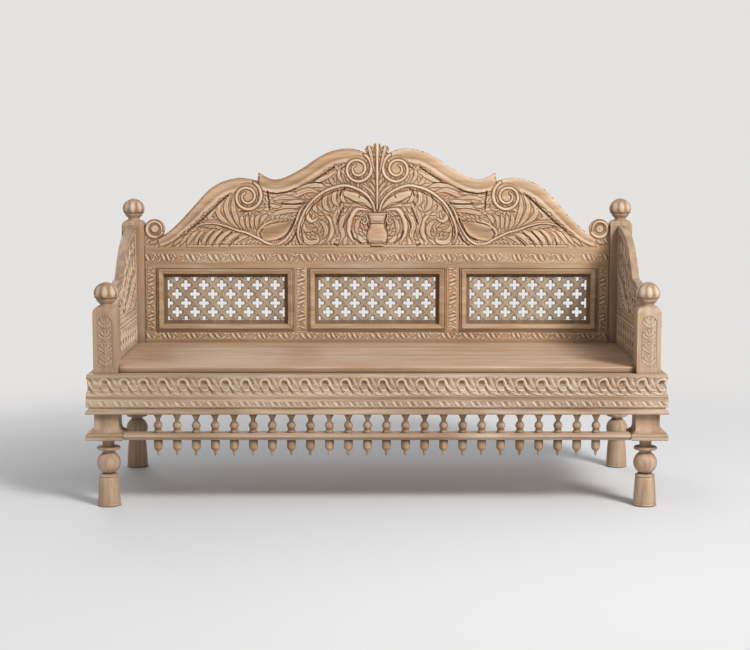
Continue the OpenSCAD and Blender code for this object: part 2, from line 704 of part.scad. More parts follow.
foot(-1, -1);  // foot_front_left
foot(1, -1);  // foot_front_right
foot(-1, 1);  // foot_back_left
foot(1, 1);  // foot_back_right
plinth(-1, -1);  // plinth_front_left
plinth(1, -1);  // plinth_front_right
plinth(-1, 1);  // plinth_back_left
plinth(1, 1);  // plinth_back_right
post(-1, -1);  // post_front_left
post(1, -1);  // post_front_right
post(-1, 1);  // post_back_left
post(1, 1);  // post_back_right
finial(-1, -1);  // finial_front_left
finial(1, -1);  // finial_front_right
finial(-1, 1);  // finial_back_left
finial(1, 1);  // finial_back_right
frieze_long(-1);  // frieze_front
frieze_long(1);  // frieze_back
frieze_short(-1);  // frieze_left
frieze_short(1);  // frieze_right
rail_long(-1);  // rail_front
rail_long(1);  // rail_back
rail_short(-1);  // rail_left
rail_short(1);  // rail_right
lower_rail();
spindles();
pendants();
seat_board(0);  // seat_board_1
seat_board(1);  // seat_board_2
seat_board(2);  // seat_board_3
seat_board(3);  // seat_board_4
seat_board(4);  // seat_board_5
seat_board(5);  // seat_board_6
bearer(0);  // bearer_left
bearer(1);  // bearer_centre
bearer(2);  // bearer_right
ledger(-1);  // ledger_left
ledger(1);  // ledger_right
arm(-1);  // arm_left
arm(1);  // arm_right
back_bottom_rail();
back_top_rail();
stile(0);  // stile_outer_left
stile(1);  // stile_inner_left
stile(2);  // stile_inner_right
stile(3);  // stile_outer_right
jali(0);  // jali_left
jali(1);  // jali_centre
jali(2);  // jali_right
moulding(0);  // moulding_left
moulding(1);  // moulding_centre
moulding(2);  // moulding_right
crest();
crest_dowels();
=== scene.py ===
"""Carved hardwood bench: its finish, turning and carving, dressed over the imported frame."""
import math

import bmesh
import bpy
import numpy as np
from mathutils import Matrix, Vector


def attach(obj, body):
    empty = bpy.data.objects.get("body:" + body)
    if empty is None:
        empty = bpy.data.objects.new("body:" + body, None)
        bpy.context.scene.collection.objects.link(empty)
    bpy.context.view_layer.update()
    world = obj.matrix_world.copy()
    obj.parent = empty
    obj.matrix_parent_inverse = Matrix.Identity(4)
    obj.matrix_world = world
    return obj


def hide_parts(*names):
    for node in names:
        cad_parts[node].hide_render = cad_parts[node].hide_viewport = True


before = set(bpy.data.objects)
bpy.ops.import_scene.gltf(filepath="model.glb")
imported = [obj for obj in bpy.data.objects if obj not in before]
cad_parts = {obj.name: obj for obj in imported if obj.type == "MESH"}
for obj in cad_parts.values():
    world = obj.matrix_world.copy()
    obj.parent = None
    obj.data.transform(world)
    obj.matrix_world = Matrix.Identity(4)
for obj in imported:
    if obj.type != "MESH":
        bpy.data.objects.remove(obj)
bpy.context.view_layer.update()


# The camera stands in front of the middle, a little above eye level of a seated person, and looks
# slightly down, as in the photograph. The picture's centre line passes just left of the object's.
photo_w = 750
photo_focus_px = 1700
object_centre_px = 377
camera_back, camera_up = 5.953, 1.239
camera_tilt = math.radians(6.4)
film_w = 36

camera = bpy.data.objects.new("camera", bpy.data.cameras.new("camera"))
bpy.context.scene.collection.objects.link(camera)
camera.location = (0, -camera_back, camera_up)
camera.rotation_euler = (math.pi / 2 - camera_tilt, 0, 0)
camera.data.sensor_width = film_w
camera.data.lens = film_w * photo_focus_px / photo_w
camera.data.shift_x = (photo_w / 2 - object_centre_px) / photo_w
bpy.context.scene.camera = camera


# The studio: a pale floor in soft light from above and from the right. Further out the floor passes into
# a plain pale backdrop, the same from every side, so that all views stay free.
def shader(name):
    """A new material with its node tree, its Principled shader and its texture coordinates."""
    material = bpy.data.materials.new(name)
    material.use_nodes = True
    tree = material.node_tree
    return material, tree, tree.nodes["Principled BSDF"], tree.nodes.new("ShaderNodeTexCoord")


def add_node(tree, kind, inputs=(), **settings):
    """A new node with its settings; each input takes a value, or a link where it is given a socket."""
    made = tree.nodes.new(kind)
    for name, value in settings.items():
        setattr(made, name, value)
    for key, value in dict(inputs).items():
        if isinstance(value, bpy.types.NodeSocket):
            tree.links.new(value, made.inputs[key])
        else:
            made.inputs[key].default_value = value
    return made


def backdrop_rays(tree):
    """1 for the rays that show a backdrop: straight from the camera, off a gloss or through glass."""
    path = tree.nodes.new("ShaderNodeLightPath").outputs
    total = path["Is Camera Ray"]
    for kind in ("Is Glossy Ray", "Is Transmission Ray"):
        total = add_node(tree, "ShaderNodeMath", {0: total, 1: path[kind]}, operation="MAXIMUM").outputs[0]
    return total


backdrop = (0.78, 0.765, 0.755, 1)
floor_grey = (0.66, 0.66, 0.66, 1)
sky_white = (0.93, 0.95, 1.0, 1)
floor_half = 60
fade_start, fade_end = 0.9, 3.3


def studio_floor():
    """A matt floor that shows near the object and fades into the backdrop between two distances."""
    mesh = bpy.data.meshes.new("studio")
    mesh.from_pydata([(x * floor_half, y * floor_half, 0) for x, y in ((-1, -1), (1, -1), (1, 1), (-1, 1))],
                     [], [(0, 1, 2, 3)])
    floor = bpy.data.objects.new("studio", mesh)
    bpy.context.scene.collection.objects.link(floor)
    material, tree, principled, coords = shader("studio_floor")
    principled.inputs["Base Color"].default_value = floor_grey
    principled.inputs["Roughness"].default_value = 0.9
    principled.inputs["Specular IOR Level"].default_value = 0.1
    away = add_node(tree, "ShaderNodeVectorMath", {0: coords.outputs["Object"]}, operation="LENGTH")
    fade = add_node(tree, "ShaderNodeMapRange",
                    {"Value": away.outputs["Value"], "From Min": fade_start, "From Max": fade_end},
                    interpolation_type="SMOOTHSTEP")
    share = add_node(tree, "ShaderNodeMath", {0: fade.outputs["Result"], 1: backdrop_rays(tree)},
                     operation="MULTIPLY")
    plain = add_node(tree, "ShaderNodeEmission", {"Color": backdrop})
    mix = add_node(tree, "ShaderNodeMixShader",
                   {0: share.outputs[0], 1: principled.outputs["BSDF"], 2: plain.outputs["Emission"]})
    tree.links.new(mix.outputs["Shader"], tree.nodes["Material Output"].inputs["Surface"])
    mesh.materials.append(material)


def surround(strength):
    """The world: a soft white sky for the light, and the backdrop wherever it is seen."""
    world = bpy.data.worlds.new("surround")
    world.use_nodes = True
    tree = world.node_tree
    light = tree.nodes["Background"]
    light.inputs["Color"].default_value = sky_white
    light.inputs["Strength"].default_value = strength
    plain = add_node(tree, "ShaderNodeBackground", {"Color": backdrop})
    mix = add_node(tree, "ShaderNodeMixShader",
                   {0: backdrop_rays(tree), 1: light.outputs["Background"], 2: plain.outputs["Background"]})
    tree.links.new(mix.outputs["Shader"], tree.nodes["World Output"].inputs["Surface"])
    bpy.context.scene.world = world


def area_lamp(name, place, aim, size, watts):
    """A square lamp that faces the point aim and isn't seen itself, with sizes in metres."""
    lamp = bpy.data.lights.new(name, "AREA")
    lamp.size, lamp.energy = size, watts
    holder = bpy.data.objects.new(name, lamp)
    holder.location = place
    holder.rotation_euler = (Vector(aim) - Vector(place)).to_track_quat("-Z", "Y").to_euler()
    holder.visible_camera = False
    bpy.context.scene.collection.objects.link(holder)


studio_floor()
surround(strength=0.44)
area_lamp("key", (5.4, -7.0, 6.4), aim=(0, 0, 0.5), size=2.3, watts=880)
area_lamp("top", (2.2, -2.6, 3.2), aim=(-0.3, 0.3, 0.6), size=1.2, watts=56)
area_lamp("left", (-5.0, -7.0, 2.6), aim=(-0.4, 0, 0.4), size=4.0, watts=40)
area_lamp("rear", (-2.0, 6.5, 3.6), aim=(0, 0.2, 0.3), size=4.0, watts=170)
bpy.context.scene.view_settings.view_transform = "Standard"


# The feet: four alike, each turned from one billet of hardwood as a tapered leg, a ball, a disc and a
# neck. A spigot on top goes through the plinth into the post.
MM = 0.001
same_place = 0.02 * MM


def washed_wood(name, light, dark, grain, carved=False, rough=0.6, corner=0.014):
    """Wood waxed pale over its open grain. grain is the axis that the fibres run along, 0 to 2. A carved
    piece holds the depth of its cuts in the attribute cut: from it the hollows get painted shade and the
    crowns a painted highlight, along with finish rubbed paler there; any other piece gets painted shade
    in its corners and where parts meet, from ambient occlusion."""
    material, tree, principled, coords = shader(name)
    pore, handled, haze_wax = (0.55, 0.5, 0.45), (0.84, 0.76, 0.70), (0.70, 0.62, 0.52)
    painted_hollow_shade, crown_wax_and_highlight, crown_highlight_share = (0.54, 0.44, 0.365), (0.74, 0.60, 0.46), (0.55, 0.55, 0.55)
    edge_radius = 0.0012 if carved else 0.003

    def noise(stretch, scale, detail, distort=0.0):
        scales = [1 / stretch if i == grain else 1 for i in range(3)]
        place = add_node(tree, "ShaderNodeMapping", {"Scale": scales, "Vector": coords.outputs["Object"]})
        return add_node(tree, "ShaderNodeTexNoise", {
            "Scale": scale, "Detail": detail, "Distortion": distort,
            "Vector": place.outputs["Vector"]}).outputs["Fac"]

    def mixed(kind, share, a, b):
        a, b = ((*value, 1) if isinstance(value, tuple) else value for value in (a, b))
        return add_node(tree, "ShaderNodeMix", {"Factor": share, "A": a, "B": b}, data_type="RGBA",
                        blend_type=kind).outputs["Result"]

    def ramp(value, low, high):
        return add_node(tree, "ShaderNodeMapRange", {
            "Value": value, "From Min": low, "From Max": high}).outputs["Result"]

    def darker(share):
        return tuple(c * share for c in dark)

    figure = ramp(noise(stretch=14, scale=26, detail=4, distort=1.2), 0.35, 0.65)
    fibre = noise(stretch=40, scale=420, detail=3)
    darkening = ramp(noise(stretch=2, scale=5, detail=3), 0.3, 0.7)
    touched = ramp(noise(stretch=1.5, scale=3.4, detail=2), 0.48, 0.72)
    haze = ramp(noise(stretch=9, scale=34, detail=4, distort=0.5), 0.52, 1.3)
    colour = mixed("MIX", figure, dark, light)
    colour = mixed("MULTIPLY", 0.35, colour, mixed("MIX", ramp(fibre, 0.3, 0.7), pore, (1, 1, 1)))
    colour = mixed("MIX", ramp(darkening, 0.0, 2.6), colour, darker(0.62))
    colour = mixed("MULTIPLY", touched, colour, handled)
    colour = mixed("MIX", haze, colour, haze_wax)
    if carved:
        # from the carving's depth: painted shade in its hollows, and on its crowns a painted highlight that
        # is also the finish rubbed paler
        cut = add_node(tree, "ShaderNodeAttribute", attribute_name="cut").outputs["Fac"]
        colour = mixed("MULTIPLY", ramp(cut, 0.5, 0.1), colour, painted_hollow_shade)
        crown = mixed("MULTIPLY", 1.0, ramp(cut, 0.55, 0.95), crown_highlight_share)
        colour = mixed("MIX", crown, colour, crown_wax_and_highlight)
    else:
        # painted shade in corners, creases and where parts meet, from ambient occlusion
        near = add_node(tree, "ShaderNodeAmbientOcclusion", {"Distance": corner}, samples=6)
        colour = mixed("MIX", ramp(near.outputs["AO"], 0.85, 0.3), colour, darker(0.55))
    edge = add_node(tree, "ShaderNodeBevel", {"Radius": edge_radius}, samples=4)
    bump = add_node(tree, "ShaderNodeBump", {
        "Strength": 0.35, "Distance": 0.001, "Normal": edge.outputs["Normal"], "Height": fibre})
    tree.links.new(colour, principled.inputs["Base Color"])
    tree.links.new(bump.outputs["Normal"], principled.inputs["Normal"])
    principled.inputs["Roughness"].default_value = rough
    principled.inputs["Specular IOR Level"].default_value = 0.3
    return material


pale, umber = (0.53, 0.375, 0.25), (0.345, 0.22, 0.135)
wood_x, wood_y, wood_z = (washed_wood("washed_wood_along_" + axis, pale, umber, i)
                          for i, axis in enumerate("xyz"))


def arc(centre_r, centre_z, radius, start, stop, steps):
    """Points [radius, height] on part of a circle, with angles in degrees from straight out."""
    a = np.radians(np.linspace(start, stop, steps))
    return list(zip(centre_r + radius * np.cos(a), centre_z + radius * np.sin(a)))


def turned(profile, sides, centre, swell=None):
    """Closed turned form round Z from a profile in mm, bottom to top; swell changes its radius by angle
    and height."""
    r, z = np.array(profile, float).T
    angle = np.arange(sides) * 2 * np.pi / sides
    round_z = r[:, None] * (swell(angle[None, :], z[:, None]) if swell else np.ones((1, sides)))
    verts = np.stack([round_z * np.cos(angle) + centre[0], round_z * np.sin(angle) + centre[1],
                      np.repeat(z[:, None], sides, 1) + centre[2]], 2).reshape(-1, 3) * MM
    top = (len(r) - 1) * sides
    faces = [(k + i, k + (i + 1) % sides, k + sides + (i + 1) % sides, k + sides + i)
             for k in range(0, top, sides) for i in range(sides)]
    return verts, faces + [tuple(range(sides))[::-1], tuple(range(top, top + sides))]


def as_mesh(name, verts, faces, cut=None):
    """A closed mesh with its faces outwards, and the depth of its carving in the attribute cut."""
    mesh = bpy.data.meshes.new(name)
    mesh.from_pydata(np.asarray(verts).tolist(), [], [tuple(f) for f in faces])
    if cut is not None:
        mesh.attributes.new("cut", "FLOAT", "POINT").data.foreach_set("value", np.asarray(cut, np.float32))
    work = bmesh.new()
    work.from_mesh(mesh)
    bmesh.ops.remove_doubles(work, verts=work.verts, dist=same_place)
    bmesh.ops.recalc_face_normals(work, faces=work.faces)
    work.to_mesh(mesh)
    work.free()
    return mesh


def piece(name, mesh, material, stands_for=(), crease=38):
    """Puts a finished mesh in the scene as one piece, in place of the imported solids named, if any."""
    mesh.shade_smooth()
    mesh.set_sharp_from_angle(angle=math.radians(crease))
    mesh.materials.clear()
    mesh.materials.append(material)
    made = bpy.data.objects.new(name, mesh)
    bpy.context.scene.collection.objects.link(made)
    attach(made, "root")
    if stands_for:
        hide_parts(*stands_for)
    return made


post_x, post_y = 899, 339
corners = {"front_left": (-post_x, -post_y), "front_right": (post_x, -post_y),
           "back_left": (-post_x, post_y), "back_right": (post_x, post_y)}
# radius and height from the ground up; the leg tapers with a slight swell
foot_profile = [(36, 0), (38.5, 1.5)] + arc(37.5, 4.5, 2.5, -60, 60, 6) + [(38, 8.2), (37.6, 9)]
foot_profile += [(37.9 - 5.6 * k / 8 + 0.8 * math.sin(math.pi * k / 8), 10 + 88 * k / 8) for k in range(9)]
foot_profile += [(31.2, 99.5)] + arc(30.5, 103, 3, -75, 75, 7) + [(29.5, 107), (25.5, 109.5)]
foot_profile += arc(0, 146.5, 39.5, -68, 60, 22) + [(20.5, 184), (21, 188.5), (30, 189.6)]
foot_profile += arc(33.4, 196, 5.8, -85, 85, 9) + [(30, 202.2), (21.5, 203.2), (20, 207)]
foot_profile += [(20, 216), (21.5, 222), (25, 227), (28, 230)]
for corner, (x, y) in corners.items():
    verts, faces = turned(foot_profile, sides=56, centre=(x, y, 0))
    piece("turned_foot_" + corner, as_mesh("turned_foot", verts, faces), wood_z,
          ["foot_" + corner])


# Plinths and lower rail: moulded squares under the posts, and the round-nosed rail tongued between the
# front pair. All are planed from solid wood; spindles and pendants stand in holes through the rail.
def finish_nodes(material, *names):
    """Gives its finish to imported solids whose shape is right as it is."""
    for name in names:
        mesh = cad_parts[name].data
        mesh.materials.clear()
        mesh.materials.append(material)


def prism_faces(n):
    """Faces of a straight closed piece between two outlines of n points each."""
    ends = [tuple(range(n))[::-1], tuple(range(n, 2 * n))]
    return ends + [(i, (i + 1) % n, n + (i + 1) % n, n + i) for i in range(n)]


finish_nodes(wood_x, *("plinth_" + corner for corner in corners))
rail_end = 840.8
rail_section = [(-346, 230), (-386, 230), (-389, 233), (-393, 236.5), (-397.5, 239), (-400.6, 240.8),
                (-401.9, 243.4), (-401.6, 246), (-400, 248.2), (-397.4, 249.6), (-394, 250.4),
                (-391.5, 252), (-346, 252)]
verts = [(x * MM, y * MM, z * MM) for x in (-rail_end, rail_end) for y, z in rail_section]
wood_rail = washed_wood("washed_wood_lower_rail", light=(0.62, 0.475, 0.345), dark=(0.41, 0.285, 0.195),
                        grain=0)
piece("lower_rail_nosed", as_mesh("lower_rail", verts, prism_faces(len(rail_section))), wood_rail,
      ["lower_rail"])


# The gallery: twenty-four small turned spindles between the lower rail and the base, and a pendant
# drop below each. All are turned alike and set on spigots at one pitch.
weld_reach = 0.03 * MM


def repeated(name, mesh, material, columns, rows, across, up, centre):
    """Repeats a small mesh over a grid that faces the front, with Geometry Nodes, and gives one mesh."""
    tree = bpy.data.node_groups.new(name, "GeometryNodeTree")
    face = tree.interface
    face.new_socket("Geometry", in_out="INPUT", socket_type="NodeSocketGeometry")
    given = {"Columns": ("Int", columns), "Rows": ("Int", rows), "Step across": ("Float", across * MM),
             "Step up": ("Float", up * MM), "Centre": ("Vector", [c * MM for c in centre]),
             "Wood": ("Material", material)}
    keys = {key: face.new_socket(key, in_out="INPUT", socket_type="NodeSocket" + kind).identifier
            for key, (kind, _) in given.items()}
    face.new_socket("Geometry", in_out="OUTPUT", socket_type="NodeSocketGeometry")
    source = tree.nodes.new("NodeGroupInput").outputs

    def out(kind, inputs, **settings):
        return add_node(tree, kind, inputs, **settings).outputs[0]

    def run(count, step):
        gaps = out("ShaderNodeMath", {0: source[count], 1: 1}, operation="SUBTRACT")
        return out("ShaderNodeMath", {0: gaps, 1: source[step]}, operation="MULTIPLY")

    places = out("GeometryNodeMeshGrid", {
        "Size X": run("Columns", "Step across"), "Size Y": run("Rows", "Step up"),
        "Vertices X": source["Columns"], "Vertices Y": source["Rows"]})
    upright = out("GeometryNodeTransform", {
        "Geometry": places, "Rotation": (math.pi / 2, 0, 0), "Translation": source["Centre"]})
    put = out("GeometryNodeInstanceOnPoints", {"Points": upright, "Instance": source["Geometry"]})
    real = out("GeometryNodeRealizeInstances", {"Geometry": put})
    weld = out("GeometryNodeMergeByDistance", {"Geometry": real, "Distance": weld_reach})
    paint = out("GeometryNodeSetMaterial", {"Geometry": weld, "Material": source["Wood"]})
    tree.links.new(paint, tree.nodes.new("NodeGroupOutput").inputs["Geometry"])

    holder = bpy.data.objects.new(name, mesh)
    bpy.context.scene.collection.objects.link(holder)
    modifier = holder.modifiers.new(name, "NODES")
    modifier.node_group = tree
    for key, (_, value) in given.items():
        modifier[keys[key]] = value
    view = bpy.context.evaluated_depsgraph_get()
    made = bpy.data.meshes.new_from_object(holder.evaluated_get(view), depsgraph=view)
    holder.modifiers.remove(modifier)
    bpy.data.objects.remove(holder)
    return made


wood_small = washed_wood("washed_wood_small", light=(0.50, 0.35, 0.23), dark=(0.31, 0.195, 0.118),
                         grain=2, corner=0.022)
gallery_n, gallery_pitch, gallery_y = 24, 63.4, -364.5
spindle_foot, pendant_top = 252, 230
spindle_profile = [(13, 0), (13.9, 0.8), (13.9, 5.6), (13, 6.6), (11.4, 7.6), (11.4, 9.4), (12.6, 10.4)]
spindle_profile += arc(0, 23.8, 14.9, -52, 52, 13) + [(7.6, 37.4), (6.7, 39.4), (6.5, 42.2), (7, 44.4)]
spindle_profile += [(8.4, 48), (10.6, 52.6), (12.8, 56.4), (13.9, 58.6), (14, 60), (13.2, 61), (13.6, 62)]
spindle_profile += [(13.6, 66)]
pendant_profile = [(1.4, -56), (3, -54.6), (4.2, -50), (5.4, -44), (5.8, -40.6), (6.4, -39.2)]
pendant_profile += [(9.6, -36.4), (12.2, -34), (12.4, -32.6), (14.2, -30.8)] + arc(12, -27.5, 3, -50, 20, 4)
pendant_profile += [(14.9, -14), (14.8, -6), (14, -4.4), (12.6, -3.8), (12.6, 0)]
for kind, profile, height in (("spindle", spindle_profile, spindle_foot),
                              ("pendant", pendant_profile, pendant_top)):
    verts, faces = turned(profile, sides=20, centre=(0, 0, 0))
    row = repeated(kind + "_row", as_mesh(kind, verts, faces), wood_small, columns=gallery_n, rows=1,
                   across=gallery_pitch, up=1, centre=(0, gallery_y, height))
    piece("turned_%ss" % kind, row, wood_small, [kind + "s"])


# The base box: four rails tenoned into the posts, with a carved frieze mitred round them. A running
# scroll fills its hollow upper band and leaning leaves the lower one; the back is moulded only.
def curve(points, steps=6):
    """Smooth curve through the points."""
    p = np.array(points, float)
    if len(p) < 3:
        return p
    p = np.vstack([2 * p[0] - p[1], p, 2 * p[-1] - p[-2]])
    t = np.linspace(0, 1, steps, endpoint=False)[:, None]
    spans = [0.5 * (2 * b + (c - a) * t + (2 * a - 5 * b + 4 * c - d) * t ** 2
                    + (3 * b - a - 3 * c + d) * t ** 3) for a, b, c, d in zip(p, p[1:], p[2:], p[3:])]
    return np.vstack(spans + [p[-2:-1]])


def ring(centre, radius, start, stop, end_radius=None, steps=40):
    """Arc or spiral path, with angles in degrees."""
    a = np.radians(np.linspace(start, stop, steps))
    r = np.linspace(radius, radius if end_radius is None else end_radius, steps)
    return np.stack([centre[0] + r * np.cos(a), centre[1] + r * np.sin(a)], 1)


def nearest(path, u, v):
    """Distance of each point from a path, and how far along it the nearest place lies, 0 to 1."""
    step = np.diff(path, axis=0)
    length = np.hypot(*step.T)
    before = np.concatenate([[0], np.cumsum(length)])
    best, place = np.full(np.shape(u), 1e9), np.zeros(np.shape(u))
    for a, s, run, start in zip(path, step, length, before):
        if run > 0:
            t = np.clip(((u - a[0]) * s[0] + (v - a[1]) * s[1]) / run ** 2, 0, 1)
            d = np.hypot(u - a[0] - t * s[0], v - a[1] - t * s[1])
            place = np.where(d < best, start + t * run, place)
            best = np.minimum(d, best)
    return best, place / before[-1]


class Carving:
    """A face being carved: heights in mm over an even grid, changed stroke by stroke. flow keeps the ways
    of the strokes, floor is what a groove leaves standing, gain sets how strongly the depth paints shade
    in the cuts and a highlight on the crowns, and the darkening lowers that value, for darker wood in
    places and for painted shade along some edges."""

    def __init__(self, u0, u1, v0, v1, step):
        self.u = np.linspace(u0, u1, round((u1 - u0) / step) + 1)
        self.v = np.linspace(v0, v1, round((v1 - v0) / step) + 1)
        self.h = np.zeros((len(self.v), len(self.u)))
        self.flow, self.floor, self.gain, self.darkening = [], 0.0, 1.0, 0.0

    def stroke(self, points, width, height, form="round", groove=1.6, level=0.0):
        """Raises one stroke of half-widths and heights that run along it, and clears a groove round it.
        Its form is round, flat, scoop (hollow) or vein (with a groove along its middle)."""
        path = points if isinstance(points, np.ndarray) else curve(points)
        self.flow.append(np.hstack([path[:-1], np.diff(path, axis=0)]))
        width, height = np.atleast_1d(width), np.atleast_1d(height)
        reach = width.max() + groove
        lo, hi = path.min(0) - reach, path.max(0) + reach
        i = slice(*np.searchsorted(self.u, (lo[0], hi[0])))
        j = slice(*np.searchsorted(self.v, (lo[1], hi[1])))
        if i.start == i.stop or j.start == j.stop:
            return
        d, t = nearest(path, *np.meshgrid(self.u[i], self.v[j]))
        w = np.interp(t, np.linspace(0, 1, len(width)), width)
        top = np.interp(t, np.linspace(0, 1, len(height)), height)
        x = np.clip(d / np.maximum(w, 0.05), 0, 1)
        crown = {"round": np.sqrt(1 - x * x), "flat": np.clip(3 * (1 - x), 0, 1),
                 "scoop": (0.42 + 0.58 * x ** 2) * np.clip(5 * (1 - x), 0, 1),
                 "vein": np.sqrt(1 - x * x) - 0.34 * np.exp(-(x / 0.22) ** 2)}[form]
        raised = np.where(d < w, level + top * crown, -99)
        clear = np.clip((d - w) / groove, self.floor, 1) if groove > 0 else 1
        old = self.h[j, i]
        self.h[j, i] = np.maximum(np.where(old > 0, old * clear, old), raised)

    def cut(self, points, width, depth):
        """Cuts one rounded channel."""
        path = points if isinstance(points, np.ndarray) else curve(points)
        d, _ = nearest(path, *np.meshgrid(self.u, self.v))
        self.h -= depth * np.sqrt(1 - np.clip(d / width, 0, 1) ** 2)

    def frond(self, points, count, lengths, width, height, spread, bend, rib):
        """A rib with pairs of leaflets that fan out from it by the angle spread and curl back by bend;
        their lengths run along the rib."""
        path = curve(points)
        reaches = np.interp(np.linspace(0, 1, count), np.linspace(0, 1, len(lengths)), lengths)
        along = np.linspace(0.04, 0.92, count) * (len(path) - 1)
        for place, reach in zip(along, reaches):
            k = int(min(place, len(path) - 2))
            way = path[k + 1] - path[k]
            root = path[k] + way * (place - k)
            heading = math.atan2(way[1], way[0])
            for side in (-1, 1):
                turn = heading + math.radians(side * spread)
                late = heading + math.radians(side * (spread - bend))
                mid = root + 0.5 * reach * np.array([math.cos(turn), math.sin(turn)])
                tip = mid + 0.5 * reach * np.array([math.cos(late), math.sin(late)])
                self.stroke([root, mid, tip], np.multiply(width, (0.6, 1, 0.2)),
                            np.multiply(height, (1, 1, 0.6)), "vein")
        self.stroke(points, np.multiply(rib, (1, 1, 0.4)), height * 1.1)

    def fill(self, spacing, length, width, height, ground, lean=28):
        """Fills what is left at the height ground with leaflets that lean away from the strokes beside
        them, one for each place of a staggered grid that is still free."""
        flow = np.vstack(self.flow)
        step = self.u[1] - self.u[0]
        margin, stride, curl, shortest = 4, 2, 0.06, 9

        def free(point):
            i, j = round((point[0] - self.u[0]) / step), round((point[1] - self.v[0]) / step)
            inside = 0 < i < len(self.u) - 1 and 0 < j < len(self.v) - 1
            return inside and abs(self.h[j, i] - ground) < 0.02

        for row, v in enumerate(np.arange(self.v[0] + margin, self.v[-1], spacing)):
            for u in np.arange(self.u[0] + margin + spacing / 2 * (row % 2), self.u[-1], spacing):
                if not free((u, v)):
                    continue
                away = np.array([u, v]) - flow[:, :2]
                near = np.argmin((away ** 2).sum(1))
                side = np.sign(np.cross(flow[near, 2:], away[near])) or 1
                heading = math.atan2(flow[near, 3], flow[near, 2]) + side * math.radians(lean)
                ends = []
                for sign in (-1, 1):
                    point, run, turn = np.array([u, v]), 0, heading
                    while run < length / 2 and free(point):
                        turn += sign * side * curl
                        point = point + stride * sign * np.array([math.cos(turn), math.sin(turn)])
                        run += stride
                    ends.append(point)
                if np.hypot(*(ends[1] - ends[0])) > shortest:
                    self.stroke([ends[0], (u, v), ends[1]], np.multiply(width, (0.5, 1, 0.4)), height,
                                "vein", 1.8)

    def mean(self, reach):
        """Heights averaged over a window of that reach, twice over."""
        soft, span = self.h, max(1, round(reach / (self.u[1] - self.u[0])))
        for axis in (0, 1, 0, 1):
            padded = np.concatenate([np.repeat(np.take(soft, [0], axis), span, axis), soft,
                                     np.repeat(np.take(soft, [-1], axis), span, axis)], axis)
            total = np.cumsum(np.insert(padded, 0, 0, axis), axis)
            n = 2 * span + 1
            soft = (np.take(total, range(n, total.shape[axis]), axis)
                    - np.take(total, range(total.shape[axis] - n), axis)) / n
        return soft

    def depth(self, reach):
        """How far each place lies above (1) or below (0) its surroundings, less the darkening, for the
        painted shade in the cuts and the painted highlight on the crowns.
        """
        above = (self.h - self.mean(reach)) * 0.11 + (self.h - self.mean(3 * reach)) * 0.07
        return np.clip(0.5 + self.gain * above - self.darkening, 0, 1)


face_x, face_y, base_z, base_h, hollow_out = 939, 379, 318, 133, 17
# the upper band: a scroll that arches over a deep eye and sweeps on below the next one, with a leaf
# behind it and leaf tips under it
scrolls = {"pitch": 65.6, "zone": (61, 131), "ground": 2.4, "gain": 1.1, "tone": 0.5, "strokes": (
    ([(-16, 33), (-15, 46), (-7, 55), (5, 56), (13, 48), (17, 36), (23, 27), (33, 20), (44, 17)],
     (1.6, 4.6, 5.4, 6, 5.8, 4, 1.6), 5.2), ([(27, 62), (31, 50), (38, 38), (45, 30)], (2, 6, 6, 2), 4.4),
    ([(-8, 21), (2, 19), (12, 20)], (2, 5, 2.4), 4.9),
    ([(-30, 14), (-20, 9), (-8, 5), (2, 5)], (1.8, 4.6, 3.4, 1.4), 4.6),
    ([(8, 9), (17, 5), (27, 4)], (2.4, 4.2, 1.6), 4.6),
    ([(-27, 66), (-20, 62), (-13, 66)], (1.4, 3.4, 1.4), 4)), "cuts": (
    ([(-5, 45), (4, 45)], 6, 5.4), ([(-5, 37), (5, 36)], 7, 2.4), ([(13, 61), (19, 52), (24, 40)], 2.6, 3.2),
    ([(14, 29), (18, 19), (27, 10)], 3.4, 4.6), ([(-16, 28), (-12, 19), (-6, 12)], 2.6, 3),
    ([(34, 13), (41, 8)], 2.2, 2.2), ([(38, 60), (42, 48)], 2.2, 1.8))}
# the lower band: two leaning leaves with a deep cut between them, and a small one behind
leaves = {"pitch": 51, "zone": (22, 50), "ground": 2, "gain": 0.8, "tone": 0.62, "strokes": (
    ([(-17, 21), (-11, 14), (-6, 7)], (3, 6, 4), 4.6), ([(7, 20), (12, 14), (17, 7)], (2.6, 5, 3), 4),
    ([(21, 23), (25, 19), (29, 18)], (1.2, 2.6, 1.2), 3)), "cuts": (
    ([(-4, 20), (0, 14), (4, 8)], 3.2, 3), ([(20, 14), (23, 10)], 2, 1.2))}


def motif_field(motif, step):
    """A band's motif drawn three times side by side, so that the middle one meets its neighbours; a
    stroke is points, half-widths and height, and a cut is points, half-width and depth."""
    pitch, (low, high) = motif["pitch"], motif["zone"]
    field = Carving(-1.5 * pitch, 1.5 * pitch, 0, high - low, step)
    field.h += motif["ground"]
    field.floor, field.gain = 0.5, motif["gain"]
    for shift in (-pitch, 0, pitch):
        for points, width, height in motif["strokes"]:
            field.stroke([(x + shift, y) for x, y in points], width, height, "round", 1.4)
        for points, width, depth in motif["cuts"]:
            field.cut([(x + shift, y) for x, y in points], width, depth)
    return field


def repeats(field, pitch, x, heights, what):
    """Heights of a repeated motif at positions x along and heights up its band."""
    u = (np.asarray(x) + pitch / 2) % pitch - pitch / 2
    k = np.interp(u, field.u, np.arange(len(field.u)))
    lo = np.floor(k).astype(int).clip(0, len(field.u) - 2)
    part = (k - lo)[None, :]
    rows = np.interp(heights, field.v, np.arange(len(field.v)))
    jlo = np.floor(rows).astype(int).clip(0, len(field.v) - 2)
    up = (rows - jlo)[:, None]
    low = what[jlo][:, lo] * (1 - part) + what[jlo][:, lo + 1] * part
    high = what[jlo + 1][:, lo] * (1 - part) + what[jlo + 1][:, lo + 1] * part
    return low * (1 - up) + high * up


